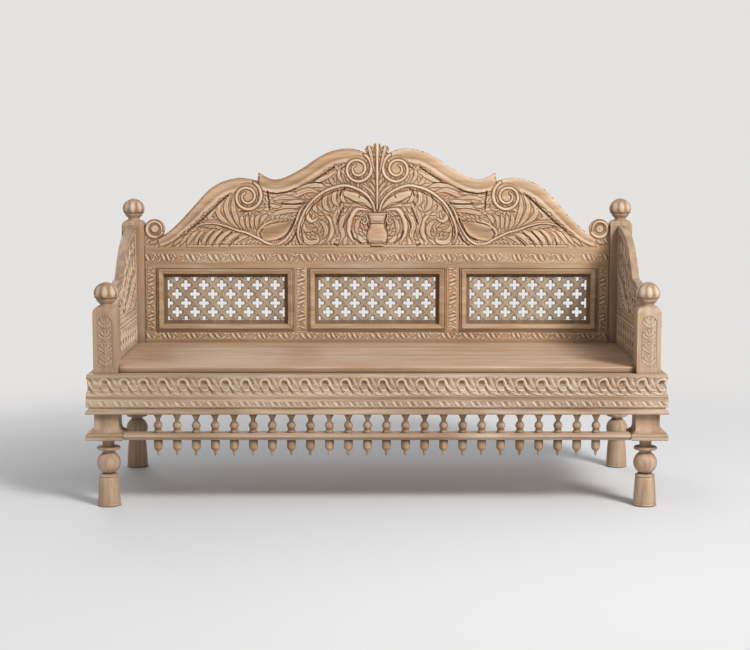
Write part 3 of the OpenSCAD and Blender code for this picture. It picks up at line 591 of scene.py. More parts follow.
# the moulding's face as distance out and height, the small fillet on it, and the gap at each mitre
frieze_face = np.array([(24, 0), (26, 2), (26, 8), (23, 11), (16, 16), (16, 22), (23, 24), (23, 53.2),
                        (22, 69.2), (18, 75.8), (17, 93.1), (18, 111.7), (21, 122.4), (19, 133)])
fillet_out, mitre_gap = 25.6, 0.2


def frieze(side, half_run, step, place, wood):
    """One side of the frieze, drawn along X with its face towards -Y and both ends mitred."""
    # heights of the rows: where the moulding breaks, with an even step through each band
    up = [0, 1.4, 2, 8, 9.4, 11, 13.5, 16, 20]
    up += list(np.arange(*leaves["zone"], step)) + [50, 51.2, 52.6, 55, 57.6, 59.2]
    up += list(np.arange(*scrolls["zone"], step)) + [131, 132.2, 133]
    up = np.array(up)
    out = np.interp(up, frieze_face[:, 1], frieze_face[:, 0])
    out[1] = fillet_out
    length = half_run + hollow_out
    x = np.linspace(-length, length, round(2 * length / step) + 1)
    rise, cut = np.zeros((len(up), len(x))), np.full((len(up), len(x)), 0.5)
    # the motifs drift a little, as cut by hand, and are worn flatter towards one end
    along = x + 5 * np.sin(x / 170) + 3 * np.sin(x / 61) - 20
    worn = 0.8 + 0.26 * x / length
    for motif in (scrolls, leaves):
        field, (low, high) = motif_field(motif, step), motif["zone"]
        rows = (up >= low) & (up < high)
        rise[rows] = repeats(field, motif["pitch"], along, up[rows] - low, field.h)
        # its depth gives painted shade in the cuts and a painted highlight on the crowns, fainter where worn
        painted_shading = repeats(field, motif["pitch"], along, up[rows] - low, field.depth(5))
        cut[rows] = motif["tone"] + (painted_shading - 0.5) * 1.3 * worn
    hand = worn * (0.84 + 0.14 * np.sin(x / 47) * np.sin(x / 29 + 1))
    ends = np.clip((length - np.abs(x)) / 6, 0, 1) * hand
    # the ground of both bands and the cove between them are sunk below the moulding's face
    rise -= np.interp(up, [21, 22, 50, 51, 52.6, 57.6, 59.2, 61, 69, 75, 130.9, 131],
                      [0, 2.4, 2.4, 0.8, 2.2, 2.2, 0.8, 3.4, 3.4, 2.4, 2.4, 0])[:, None]
    # painted shade in the cove between the two bands
    cut[(up > 52) & (up < 58)] = 0.28
    stand = out[:, None] + rise * ends
    loop_out = np.vstack([stand, np.zeros((2, len(x)))])
    loop_up = np.concatenate([up, [base_h, 0]])
    across = x[None, :] * (half_run + loop_out - mitre_gap) / length
    verts = np.stack([across, -loop_out, np.repeat(loop_up[:, None], len(x), 1)], 2)
    cuts = np.vstack([cut, np.full((2, len(x)), 0.5)])
    index = np.arange(loop_out.size).reshape(loop_out.shape)
    above = np.roll(index, -1, 0)
    faces = np.stack([index[:, :-1], index[:, 1:], above[:, 1:], above[:, :-1]], 2).reshape(-1, 4).tolist()
    faces += [index[:, 0].tolist(), index[::-1, -1].tolist()]
    mesh = as_mesh("carved_frieze_" + side, place(verts.reshape(-1, 3)) * MM, faces, cuts.ravel())
    piece("carved_frieze_" + side, mesh, wood, ["frieze_" + side], crease=45)


worn_pale, worn_dark = (0.55, 0.41, 0.285), (0.36, 0.245, 0.16)
carved_x, carved_y = (washed_wood("washed_carving_along_" + axis, worn_pale, worn_dark, i, carved=True)
                      for i, axis in enumerate("xy"))
front_step, end_step = 2.2, 2.4
frieze("front", face_x, front_step, lambda v: v + (0, -face_y, base_z), carved_x)
for side, sign in (("left", 1), ("right", -1)):
    frieze(side, face_y, end_step, lambda v, sign=sign: v[:, [1, 0, 2]] * (sign, -sign, 1)
           + (-sign * face_x, 0, base_z), carved_y)
finish_nodes(wood_x, "frieze_back", "rail_front", "rail_back")
finish_nodes(wood_y, "rail_left", "rail_right")


# The seat: six planks side by side, notched round the posts, with their edges eased and the first one's
# nosing undercut, on three bearers housed in the long rails and a ledger along each short rail.
in_x, in_y, seat_z0, seat_z1, arm_in_x = 859, 299, 451, 472, 886.5
seat_y0, seat_y1, planks = -358, 320.8, 6
fit, board_gap = 0.2, 1
nose_deep, nose_high, undercut = 8, 5, 5.5
# the seat paints shade over a wider reach, darkest at the foot of the front plank's face
wood_seat = washed_wood("washed_wood_seat", light=(0.60, 0.42, 0.28), dark=(0.48, 0.315, 0.20), grain=0,
                        rough=0.45, corner=0.032)
board_w = (seat_y1 - seat_y0 - (planks - 1) * board_gap) / planks


def planed(name, outline, z0, z1, ease):
    """A board with its edges eased, from its outline in X and Y."""
    mesh = bpy.data.meshes.new(name)
    mesh.from_pydata([(x * MM, y * MM, z * MM) for z in (z0, z1) for x, y in outline], [],
                     prism_faces(len(outline)))
    work = bmesh.new()
    work.from_mesh(mesh)
    bmesh.ops.recalc_face_normals(work, faces=work.faces)
    bmesh.ops.bevel(work, geom=list(work.edges), offset=ease * MM, segments=4, profile=0.5, affect="EDGES")
    work.to_mesh(mesh)
    work.free()
    return mesh


for i in range(planks):
    y0 = seat_y0 + i * (board_w + board_gap)
    y1 = y0 + board_w
    long_y0, long_y1 = max(y0, -in_y + fit), min(y1, in_y - fit)
    side = [(arm_in_x - fit, long_y0), (arm_in_x - fit, long_y1)]
    if long_y0 > y0:
        side = [(in_x - fit, y0), (in_x - fit, long_y0)] + side
    if long_y1 < y1:
        side += [(in_x - fit, long_y1), (in_x - fit, y1)]
    outline = side + [(-x, y) for x, y in reversed(side)]
    plank = planed("seat_plank", outline, seat_z0, seat_z1, ease=4 if i == 0 else 1.5)
    for vert in plank.vertices:
        if vert.co.y < (seat_y0 + nose_deep) * MM and vert.co.z < (seat_z0 + nose_high) * MM:
            vert.co.y += undercut * MM
    piece("seat_plank_%d" % (i + 1), plank, wood_seat, ["seat_board_%d" % (i + 1)])
finish_nodes(wood_y, "bearer_left", "bearer_centre", "bearer_right", "ledger_left", "ledger_right")


# The posts: square, with a hollow flare at the foot; the front pair has a sunk panel with an arched head
# on its face, and a vine of paired leaves is carved in it. Each post ends in a ball with cut petals.
finish_nodes(wood_z, "post_front_left", "post_front_right")
# the back posts paint shade over a wide reach, darker beside the arms and the back frame
wood_post = washed_wood("washed_wood_back_posts", pale, umber, grain=2, corner=0.05)
finish_nodes(wood_post, "post_back_left", "post_back_right")
carved_z = washed_wood("washed_carving_along_z", pale, umber, grain=2, carved=True)
panel_w, panel_z0, panel_z1, panel_y, panel_gap = 49.6, 473, 643, -376, 0.4
panel_half, panel_top = panel_w / 2 - panel_gap, panel_z1 - panel_z0 - panel_gap
arch = ring((0, panel_top - panel_half), panel_half, 0, 180, steps=25)
panel_outline = np.vstack([[(-panel_half, panel_gap), (panel_half, panel_gap)], arch])


def carved_solid(name, carving, outline, back, place, depth_reach=5, both_faces=False):
    """Closed solid: the carving inside an outline, with its border moved on to the outline, walls along
    it, and a back that is flat at height back or carries the same carving."""
    u, v, h = carving.u, carving.v, carving.h
    # the cells inside the outline, without any that meet only at a corner
    mid_u, mid_v = np.meshgrid((u[1:] + u[:-1]) / 2, (v[1:] + v[:-1]) / 2)
    kept = np.zeros(mid_u.shape, bool)
    for (u0, v0), (u1, v1) in zip(outline, np.roll(outline, -1, 0)):
        if v0 != v1:
            crosses = (mid_v > min(v0, v1)) & (mid_v <= max(v0, v1))
            kept ^= crosses & (mid_u < u0 + (mid_v - v0) * (u1 - u0) / (v1 - v0))
    for _ in range(3):
        a, b, c, d = kept[:-1, :-1], kept[:-1, 1:], kept[1:, :-1], kept[1:, 1:]
        pinch = (a & d & ~b & ~c) | (b & c & ~a & ~d)
        for part in (a, b, c, d):
            part |= pinch
    index = np.arange(h.size).reshape(h.shape)
    quads = np.stack([index[:-1, :-1], index[:-1, 1:], index[1:, 1:], index[1:, :-1]], 2)[kept]
    edges = np.concatenate([quads[:, [k, (k + 1) % 4]] for k in range(4)])
    key = np.sort(edges, 1)
    _, first, count = np.unique(key[:, 0] * h.size + key[:, 1], return_index=True, return_counts=True)
    rim = edges[first[count == 1]]
    # each point of the border goes to the nearest place on the outline
    flat = np.stack([grid.ravel() for grid in np.meshgrid(u, v)], 1)
    border = np.unique(rim)
    closed = np.vstack([outline, outline[:1]])
    best = np.full(len(border), 1e9)
    snapped = flat[border].copy()
    for a, b in zip(closed[:-1], closed[1:]):
        s = b - a
        if (s ** 2).sum() > 0:
            t = np.clip(((flat[border] - a) @ s) / (s @ s), 0, 1)
            on = a + t[:, None] * s
            d = np.hypot(*(flat[border] - on).T)
            snapped[d < best] = on[d < best]
            best = np.minimum(best, d)
    flat[border] = snapped
    used = np.unique(quads)
    renumber = np.full(h.size, -1)
    renumber[used] = np.arange(len(used))
    front = np.column_stack([flat[used], h.ravel()[used]])
    cut = carving.depth(depth_reach).ravel()[used]
    faces = renumber[quads].tolist()
    rim = renumber[rim]
    if both_faces:
        renumber_back = len(used) + np.arange(len(used))
        rear = np.column_stack([front[:, :2], back - front[:, 2]])
        faces += [face[::-1] for face in (renumber[quads] + len(used)).tolist()]
        rear_cut = cut
    else:
        border = np.unique(rim)
        renumber_back = np.full(len(used), -1)
        renumber_back[border] = len(used) + np.arange(len(border))
        rear = np.column_stack([front[border][:, :2], np.full(len(border), back)])
        follow = {int(b): int(a) for a, b in rim}
        while follow:
            at, loop = next(iter(follow)), []
            while at in follow:
                loop.append(int(renumber_back[at]))
                at = follow.pop(at)
            faces.append(loop)
        rear_cut = np.full(len(border), 0.5)
    faces += np.column_stack([rim[:, 1], rim[:, 0], renumber_back[rim[:, 0]],
                              renumber_back[rim[:, 1]]]).tolist()
    verts = place(np.vstack([front, rear])) * MM
    return as_mesh(name, verts, faces, np.concatenate([cut, rear_cut]))


vine = Carving(-25, 25, 0, 171, step=1.7)
vine.h += 1.9
vine.gain = 0.9
vine_pitch, vine_leaves = 42, (
    ([(2, 2), (9, 9), (16, 13), (21, 22)], (1.6, 4.4, 4.6, 1.4)),
    ([(2, 16), (8, 21), (12, 30), (10, 38)], (1.4, 4.2, 4.4, 1.4)),
    ([(20, 26), (19, 33), (14, 40)], (1.2, 3.2, 1.2)), ([(2, 30), (5, 36), (4, 42)], (1.2, 2.8, 1.2)))
for k in range(4):
    z = 4 + vine_pitch * k
    for side in (-1, 1):
        for points, width in vine_leaves:
            vine.stroke([(side * x, z + y) for x, y in points], width, 1.7, "round", 0.8, 1.6)
vine.stroke([(0, 8), (0, 158)], (1.8, 1.6, 1), 1.2, "round", 0, 2.1)
for side, middle in (("left", -post_x), ("right", post_x)):
    mesh = carved_solid("post_vine", vine, panel_outline, -0.1, lambda p, middle=middle: np.column_stack(
        [middle + p[:, 0], panel_y - p[:, 2], panel_z0 + p[:, 1]]))
    piece("post_vine_front_" + side, mesh, carved_z)


# the ball's petals: half-width as a share of each one's place, and heights above the ball's foot
petal_n, petal_half_w, petal_z, petal_half_h = 8, 0.44, 51, 25
ground_z, line_z0, line_z1, petal_rise, ground_sink = 24, 29, 33, 0.11, 0.08


def petal_shape(angle, z):
    """1 in the middle of the nearest almond petal, 0 at its edge and negative outside it."""
    turn = (angle / (2 * np.pi) * petal_n + 0.5) % 1 - 0.5
    return 1 - (turn / petal_half_w) ** 2 - ((z - petal_z) / petal_half_h) ** 2


def petals(angle, z):
    """Swell of the ball: petals that stand out of a ground cut back, above a plain lower part."""
    risen = petal_rise * np.sqrt(np.clip(petal_shape(angle, z), 0, 1))
    return 1 + np.where(z > ground_z, risen - ground_sink, 0)


def petal_painted_shading(verts, centre):
    """Painted shading on a ball: painted shade round each petal and in the line under them, and a painted
    highlight in each petal's middle.
    """
    at = np.asarray(verts) / MM - centre
    inside = petal_shape(np.arctan2(at[:, 1], at[:, 0]), at[:, 2])
    painted_shading = np.interp(inside, [-0.6, -0.15, 0.08, 0.3, 0.8], [0.42, 0.34, 0.22, 0.6, 0.85])
    return np.where(at[:, 2] > line_z1, painted_shading, np.where(at[:, 2] > line_z0, 0.12, 0.5))


ball_r, ball_z, front_post_top, back_post_top = 39.5, 42.5, 671, 922
finial_profile = [(29, 0), (28.6, 1.6), (25.5, 3.8), (20, 4.4), (20.5, 6)]
finial_profile += arc(0, ball_z, 38.2, -56, -26, 8) + arc(0, ball_z, ball_r, -24, -24, 1)
finial_profile += arc(36.6, 31, 2.6, -70, 70, 6) + arc(0, ball_z, ball_r, -7, 84, 26) + [(2, 82)]
for corner, (x, y) in corners.items():
    centre = (x, y, front_post_top if "front" in corner else back_post_top)
    verts, faces = turned(finial_profile, sides=64, centre=centre, swell=petals)
    piece("petal_ball_" + corner, as_mesh("petal_ball", verts, faces, petal_painted_shading(verts, centre)), carved_z,
          ["finial_" + corner])


# The arms: one thick board each, sawn to an S along the top and carved on both faces, with a leaf rim, a
# flower band and a bead at half height, long fronds above them and upright ones below. Tenons hold each
# arm in both posts.
arm_front_h, arm_shelf_h, arm_back_h, arm_core_t = 199, 286, 454, 19
arm_edge = [(-in_y, arm_front_h), (-in_y * 0.86, (arm_front_h + arm_shelf_h) / 2),
            (-in_y * 0.62, arm_shelf_h - 14), (-in_y * 0.4, arm_shelf_h), (-in_y * 0.24, arm_shelf_h + 4),
            (-in_y * 0.13, arm_shelf_h + 37), (in_y * 0.04, arm_shelf_h + 84),
            (in_y * 0.24, arm_shelf_h + 122.6), (in_y * 0.6, arm_shelf_h + 156.2), (in_y, arm_back_h)]
arm_top = curve(arm_edge, 6)
arm_outline = np.vstack([[(-in_y + fit, 0)], [(in_y - fit, 0)], arm_top[::-1]])
arm_outline[:, 0] = arm_outline[:, 0].clip(-in_y + fit, in_y - fit)
arm_band, arm_rim_w, arm_margin, foot_h, blade_pitch = (123, 160), 31, 10, 27, 13.0


def arm_carving():
    """The face of an arm, with u along the seat from front to back and v up from it."""
    face = Carving(-in_y, in_y, 0, arm_back_h, step=2.5)
    uu, vv = np.meshgrid(face.u, face.v)
    edge, place = nearest(arm_top, uu, vv)
    face.h -= 0.8
    face.gain = 1.5
    # long fronds above the band, upright ones with small leaves between them below it
    for stem in (
            [(-292, 166), (-232, 206), (-160, 226), (-95, 226), (-45, 242), (5, 288), (75, 334), (170, 366),
             (290, 380)], [(-190, 163), (-90, 172), (0, 205), (70, 252), (150, 292), (290, 320)],
            [(20, 163), (110, 182), (190, 225), (290, 262)], [(170, 162), (230, 180), (292, 208)]):
        face.frond(stem, 10, (34, 44, 44, 32), 7.4, 4.2, spread=56, bend=30, rib=3.4)
    for y in range(-262, 300, 58):
        face.frond([(y, 34), (y + 6, 70), (y - 4, 116)], 3, (24, 32, 20), 7, 4.2, spread=50, bend=24, rib=3.2)
        face.stroke([(y + 27, 116), (y + 29, 86), (y + 29, 60)], (8, 6, 0.8), 3.2, "vein")
        face.stroke([(y + 20, 36), (y + 29, 46), (y + 38, 36)], (2, 3.6, 2), 3)
    # the band: flowers of four petals, with a lozenge between each two
    face.h[(vv > arm_band[0]) & (vv < arm_band[1])] = 0.2
    middle = sum(arm_band) / 2
    for y in range(-286, 300, 44):
        for sx in (-1, 1):
            for sy in (-1, 1):
                face.stroke([(y + sx, middle + sy), (y + sx * 8, middle + sy * 4),
                             (y + sx * 12, middle + sy * 10)], (1.2, 3.6, 1), 3, "vein")
            face.stroke([(y + 22, middle - 11), (y + 22 + sx * 7, middle), (y + 22, middle + 11)],
                        (1, 2.4, 1), 2.6)
        face.stroke([(y, middle), (y, middle + 0.2)], 3.4, 3.4)
    for z, width, height in ((arm_band[0] + 1, 6, 4.4), (arm_band[1] - 3, 3, 3.2), (30, 3, 3.2)):
        face.stroke([(-in_y, z), (in_y, z)], width, height, "round", 2)
    face.h[vv < foot_h] = 3
    # the rim along the sawn edge: leaves that lean along it, with a bead on each side
    rim = edge < arm_rim_w
    face.h[rim] = np.interp(edge, [0, 1.5, 3, 6.5, 8, 9, 23, 24.5, 26, 29, arm_rim_w],
                            [2, 2.9, 3.3, 3.2, 1.6, 0.4, 0.4, 1.6, 3.1, 3.1, 0])[rim]
    total = np.hypot(*np.diff(arm_top, axis=0).T).sum()
    lean = (place * total - edge * 0.9) / blade_pitch
    blade = np.abs(lean % 1 - 0.5) * 2
    leafy = (edge > 8.5) & (edge < 23.5)
    face.h[leafy] += (3.0 * np.sqrt(np.clip(1 - (blade / 0.8) ** 2, 0, 1))
                      * np.sqrt(np.clip(1 - ((edge - 16) / 7.6) ** 2, 0, 1)))[leafy]
    # a plain margin beside each post
    for y in (-in_y, in_y):
        beside = np.abs(uu - y)
        margin = np.maximum(face.h, np.interp(beside, [0, 8, arm_margin], [3, 3, 0]))
        face.h = np.where(beside < arm_margin, margin, face.h)
    return face


arm_face = arm_carving()
for side, name in ((-1, "arm_left"), (1, "arm_right")):
    mesh = carved_solid(name, arm_face, arm_outline, -arm_core_t, lambda p, side=side: np.column_stack(
        [side * (post_x - arm_core_t / 2 - p[:, 2]), p[:, 0], seat_z0 + p[:, 1]]), both_faces=True)
    piece("carved_" + name, mesh, carved_y, [name], crease=45)


# The back frame: a bottom rail, a top rail and four stiles tenoned together between the tall posts. Low
# carved bands of plump leaves in pairs fill what the window mouldings leave free.
honey, russet = (0.585, 0.395, 0.24), (0.41, 0.26, 0.148)
# the plain rails and stiles are coloured a little darker than the carved bands, as painted shade from the
# crest above them
plain_honey, plain_russet = (0.545, 0.37, 0.225), (0.385, 0.243, 0.138)
back_x, back_z = (washed_wood("washed_back_along_" + axis, plain_honey, plain_russet, i, corner=0.006)
                  for i, axis in ((0, "x"), (2, "z")))
carved_back_x, carved_back_z = (washed_wood("washed_back_carving_along_" + axis, honey, russet, i,
                                            carved=True) for i, axis in ((0, "x"), (2, "z")))
finish_nodes(back_x, "back_bottom_rail", "back_top_rail")
finish_nodes(back_z, "stile_outer_left", "stile_inner_left", "stile_inner_right", "stile_outer_right")
back_face_y, band_out = 321, 0.4
win_w, win_h, win_pitch, win_z = 460, 186, 561, 632


def leaf_band(length, width, pitch, gain):
    """Pairs of plump leaves that lean one way, with low curled ones between, between two thin beads."""
    band = Carving(-length / 2, length / 2, 0, width, step=2)
    band.h += 1.4
    band.floor, band.gain = 0.2, gain
    reach = int(length / pitch / 2) + 1
    for k in range(-reach, reach + 1):
        centre = (k + 0.05 * math.sin(2.3 * k)) * pitch
        size = 1 + 0.14 * math.sin(1.7 * k + 1)

        def across(a, b, centre=centre, size=size):
            return [(centre + u * pitch * size, v * width) for u, v in zip(a, b)]

        for a, b, w, high in (((-0.24, -0.17, -0.09), (0.8, 0.54, 0.22), (3.4, 6.2, 2), 3.8),
                              ((0.01, 0.07, 0.15), (0.78, 0.5, 0.24), (3, 5.8, 2), 3.6),
                              ((0.2, 0.3, 0.38), (0.18, 0.32, 0.64), (1.4, 4.4, 1.6), 3.4),
                              ((0.26, 0.38, 0.48), (0.84, 0.78, 0.5), (1.2, 4, 1.4), 3.2),
                              ((-0.47, -0.38, -0.3), (0.2, 0.24, 0.5), (1.4, 4, 1.2), 3.4),
                              ((-0.46, -0.38, -0.3), (0.62, 0.76, 0.8), (1.2, 3.8, 1.2), 3)):
            band.stroke(across(a, b), w, high, "round", 2)
        for a, b in (((-0.1, -0.04, 0.04), (0.8, 0.52, 0.2)), ((0.13, 0.18, 0.24), (0.8, 0.54, 0.24))):
            band.cut(across(a, b), 2.2, 1.6)
    for z in (1.8, width - 1.8):
        band.stroke([(-length / 2, z), (length / 2, z)], 1.8, 2.2, "round", 1)
    return band


def band_piece(name, length, width, centre_x, centre_z, pitch, gain=1.8, upright=False):
    """One band as a thin carved piece let into the frame's face, level or turned upright."""
    band = leaf_band(length, width, pitch, gain)
    half = length / 2
    outline = np.array([(-half, 0), (half, 0), (half, width), (-half, width)])

    def place(p):
        u, v, h = p[:, 0], p[:, 1] - width / 2, p[:, 2]
        x, z = (-v, u) if upright else (u, v)
        return np.column_stack([centre_x + x, back_face_y - band_out - h, centre_z + z])

    mesh = carved_solid("leaf_band_" + name, band, outline, -0.9, place, depth_reach=4)
    piece("leaf_band_" + name, mesh, carved_back_z if upright else carved_back_x)


band_piece("top", length=1714, width=44, centre_x=0, centre_z=785, pitch=86, gain=2.6)
band_piece("bottom", length=1714, width=35, centre_x=0, centre_z=494, pitch=86)
for name, centre_x, width in (("left", -837, 37), ("inner_left", -win_pitch / 2, 46),
                              ("inner_right", win_pitch / 2, 46), ("right", 837, 37)):
    band_piece(name, length=232, width=width, centre_x=centre_x, centre_z=win_z, pitch=64, upright=True)


# The window mouldings: four strips round each window, planed to one profile from the wood of the back
# frame, mitred at the corners and pinned on to its face.
finish_nodes(back_x, "moulding_left", "moulding_centre", "moulding_right")


# The pierced panels: thin boards sawn through with four-lobed holes in staggered rows, the bars between
# them rounded over, with a plain border that sits in the rebate behind the mouldings.
hole_pitch, hole_row, hole_w, jali_border, rebate = 66.4, 33.6, 38, 13, 13.6
jali_y, jali_t, lobe_share, core_share = 336, 12, 0.17, 0.23
carved_jali = washed_wood("washed_pierced_panel", light=(0.475, 0.385, 0.275), dark=(0.335, 0.255, 0.17),
                          grain=2, carved=True)


def hole_edge(angle):
    """Distance from the middle of a four-lobed hole to its edge."""
    lobe = hole_w * lobe_share
    reach = hole_w / 2 - lobe
    turn = (angle + math.pi / 4) % (math.pi / 2) - math.pi / 4
    side = reach * math.sin(turn)
    round_part = reach * math.cos(turn) + math.sqrt(lobe ** 2 - side ** 2) if abs(side) < lobe else 0
    core = hole_w * core_share / max(math.cos(abs(turn) - math.pi / 4), 0.1)
    return max(round_part, core)


def lattice_tile():
    """Two lozenge cells of the lattice, each with its hole, which repeat into the whole panel."""
    a, b, per_side = hole_pitch / 2, hole_row, 14
    cell = [(a, 0), (0, b), (-a, 0), (0, -b), (a, 0)]
    rim = [np.array(p) + (np.array(q) - p) * k / per_side for p, q in zip(cell, cell[1:])
           for k in range(per_side)]
    n = len(rim)
    angles = [math.atan2(p[1], p[0]) for p in rim]
    hole = [np.array((math.cos(t), math.sin(t))) * hole_edge(t) for t in angles]
    # share of the way from the cell's rim to the hole's edge, and depth below the face
    rings = [(0, 0), (0.35, 0.15), (0.62, 0.7), (0.84, 2.0), (0.96, 3.6), (1, 5.2), (1, jali_t - 2),
             (0.9, jali_t), (0, jali_t)]
    verts, faces = [], []
    for cx, cz in ((0, 0), (a, b)):
        first = len(verts)
        for share, deep in rings:
            verts += [(cx + p[0] + (q[0] - p[0]) * share, deep, cz + p[1] + (q[1] - p[1]) * share)
                      for p, q in zip(rim, hole)]
        faces += [(first + r * n + k, first + r * n + (k + 1) % n, first + (r + 1) * n + (k + 1) % n,
                   first + (r + 1) * n + k) for r in range(len(rings) - 1) for k in range(n)]
    # painted shade on the bars, growing darker towards each hole's edge
    cut = [0.6 - 0.56 * share ** 2 for share, _ in rings for _ in range(n)] * 2
    mesh = bpy.data.meshes.new("lattice_tile")
    mesh.from_pydata([tuple(c * MM for c in v) for v in verts], [], faces)
    mesh.attributes.new("cut", "FLOAT", "POINT").data.foreach_set("value", np.array(cut, np.float32))
    return mesh


def jali(side, centre_x, shift):
    """One pierced panel: the lattice cut to its field, its cut bars closed, and the border round it."""
    name = "pierced_panel_" + side
    lattice = repeated(name, lattice_tile(), carved_jali, columns=9, rows=5, across=hole_pitch,
                       up=2 * hole_row, centre=(centre_x + shift, jali_y, win_z + hole_row / 2))
    half_w, half_h = win_w / 2 - jali_border, win_h / 2 - jali_border
    outer_w, outer_h = win_w / 2 + rebate, win_h / 2 + rebate
    work = bmesh.new()
    work.from_mesh(lattice)
    for axis, place, sign in ((0, centre_x - half_w, -1), (0, centre_x + half_w, 1), (2, win_z - half_h, -1),
                              (2, win_z + half_h, 1)):
        spot, way = [0, 0, 0], [0, 0, 0]
        spot[axis], way[axis] = place * MM, sign
        bmesh.ops.bisect_plane(work, geom=list(work.verts) + list(work.edges) + list(work.faces),
                               plane_co=spot, plane_no=way, clear_outer=True, dist=same_place / 2)
        cut_edges = [edge for edge in work.edges if edge.is_boundary
                     and all(abs(vert.co[axis] - spot[axis]) < same_place for vert in edge.verts)]
        bmesh.ops.holes_fill(work, edges=cut_edges)
    frame_rings = [(half_w, half_h, 0.6), (half_w + 1.5, half_h + 1.5, 0), (outer_w, outer_h, 0),
                   (outer_w, outer_h, jali_t), (half_w, half_h, jali_t)]
    made = [[work.verts.new(((centre_x + sx * w) * MM, (jali_y + deep) * MM, (win_z + sz * h) * MM))
             for sx, sz in ((-1, -1), (1, -1), (1, 1), (-1, 1))] for w, h, deep in frame_rings]
    for inner, outer in zip(made, made[1:] + made[:1]):
        for k in range(4):
            work.faces.new((inner[k], inner[(k + 1) % 4], outer[(k + 1) % 4], outer[k]))
    bmesh.ops.recalc_face_normals(work, faces=work.faces)
    work.to_mesh(lattice)
    work.free()
    piece(name, lattice, carved_jali, ["jali_" + side], crease=50)


jali("left", -win_pitch, hole_pitch / 4)
jali("centre", 0, hole_pitch / 4)
jali("right", win_pitch, -hole_pitch / 4)


# The crest: one wide board on six hidden dowels, sawn to a double scroll and carved deep. A smooth broad
# rim runs into the volutes; below it are stems and leaves, and a vase stands in the middle.
crest_z, crest_y, crest_t, crest_h, crest_end, crest_step = 824, 327, 24, 384, 858.8, 2.1
# the two curves of the top edge, drawn to an end at 852 and stretched to the crest's own
crest_k = crest_end / 852
shoulder = curve(np.array([(44, 347), (72, 359), (116, 363), (170, 352), (218, 328), (266, 295), (318, 266),
                           (358, 251), (394, 254), (433, 275)]) * (crest_k, 1), 6)
second = curve(np.array([(436, 244), (472, 253), (512, 255), (568, 240), (614, 211), (656, 167), (699, 119),
                         (739, 78), (773, 51), (800, 40)]) * (crest_k, 1), 6)
end_scroll, end_scroll_r = (crest_end - 37, 67), 37
inner_volute, outer_volute = (72, 290), (479, 188)


def crest_outline():
    """The right half, from the knob in the middle out to the end scroll, and its mirror image."""
    half = np.vstack([ring((0, 367), 17, 90, 3, steps=9), ring((29.2, 359), 15, 144, -53, steps=14), shoulder,
                      second[second[:, 0] < 796], ring(end_scroll, end_scroll_r, 223, 0, steps=30),
                      [(crest_end, 0)]])
    return np.vstack([half, half[:0:-1] * (-1, 1)])


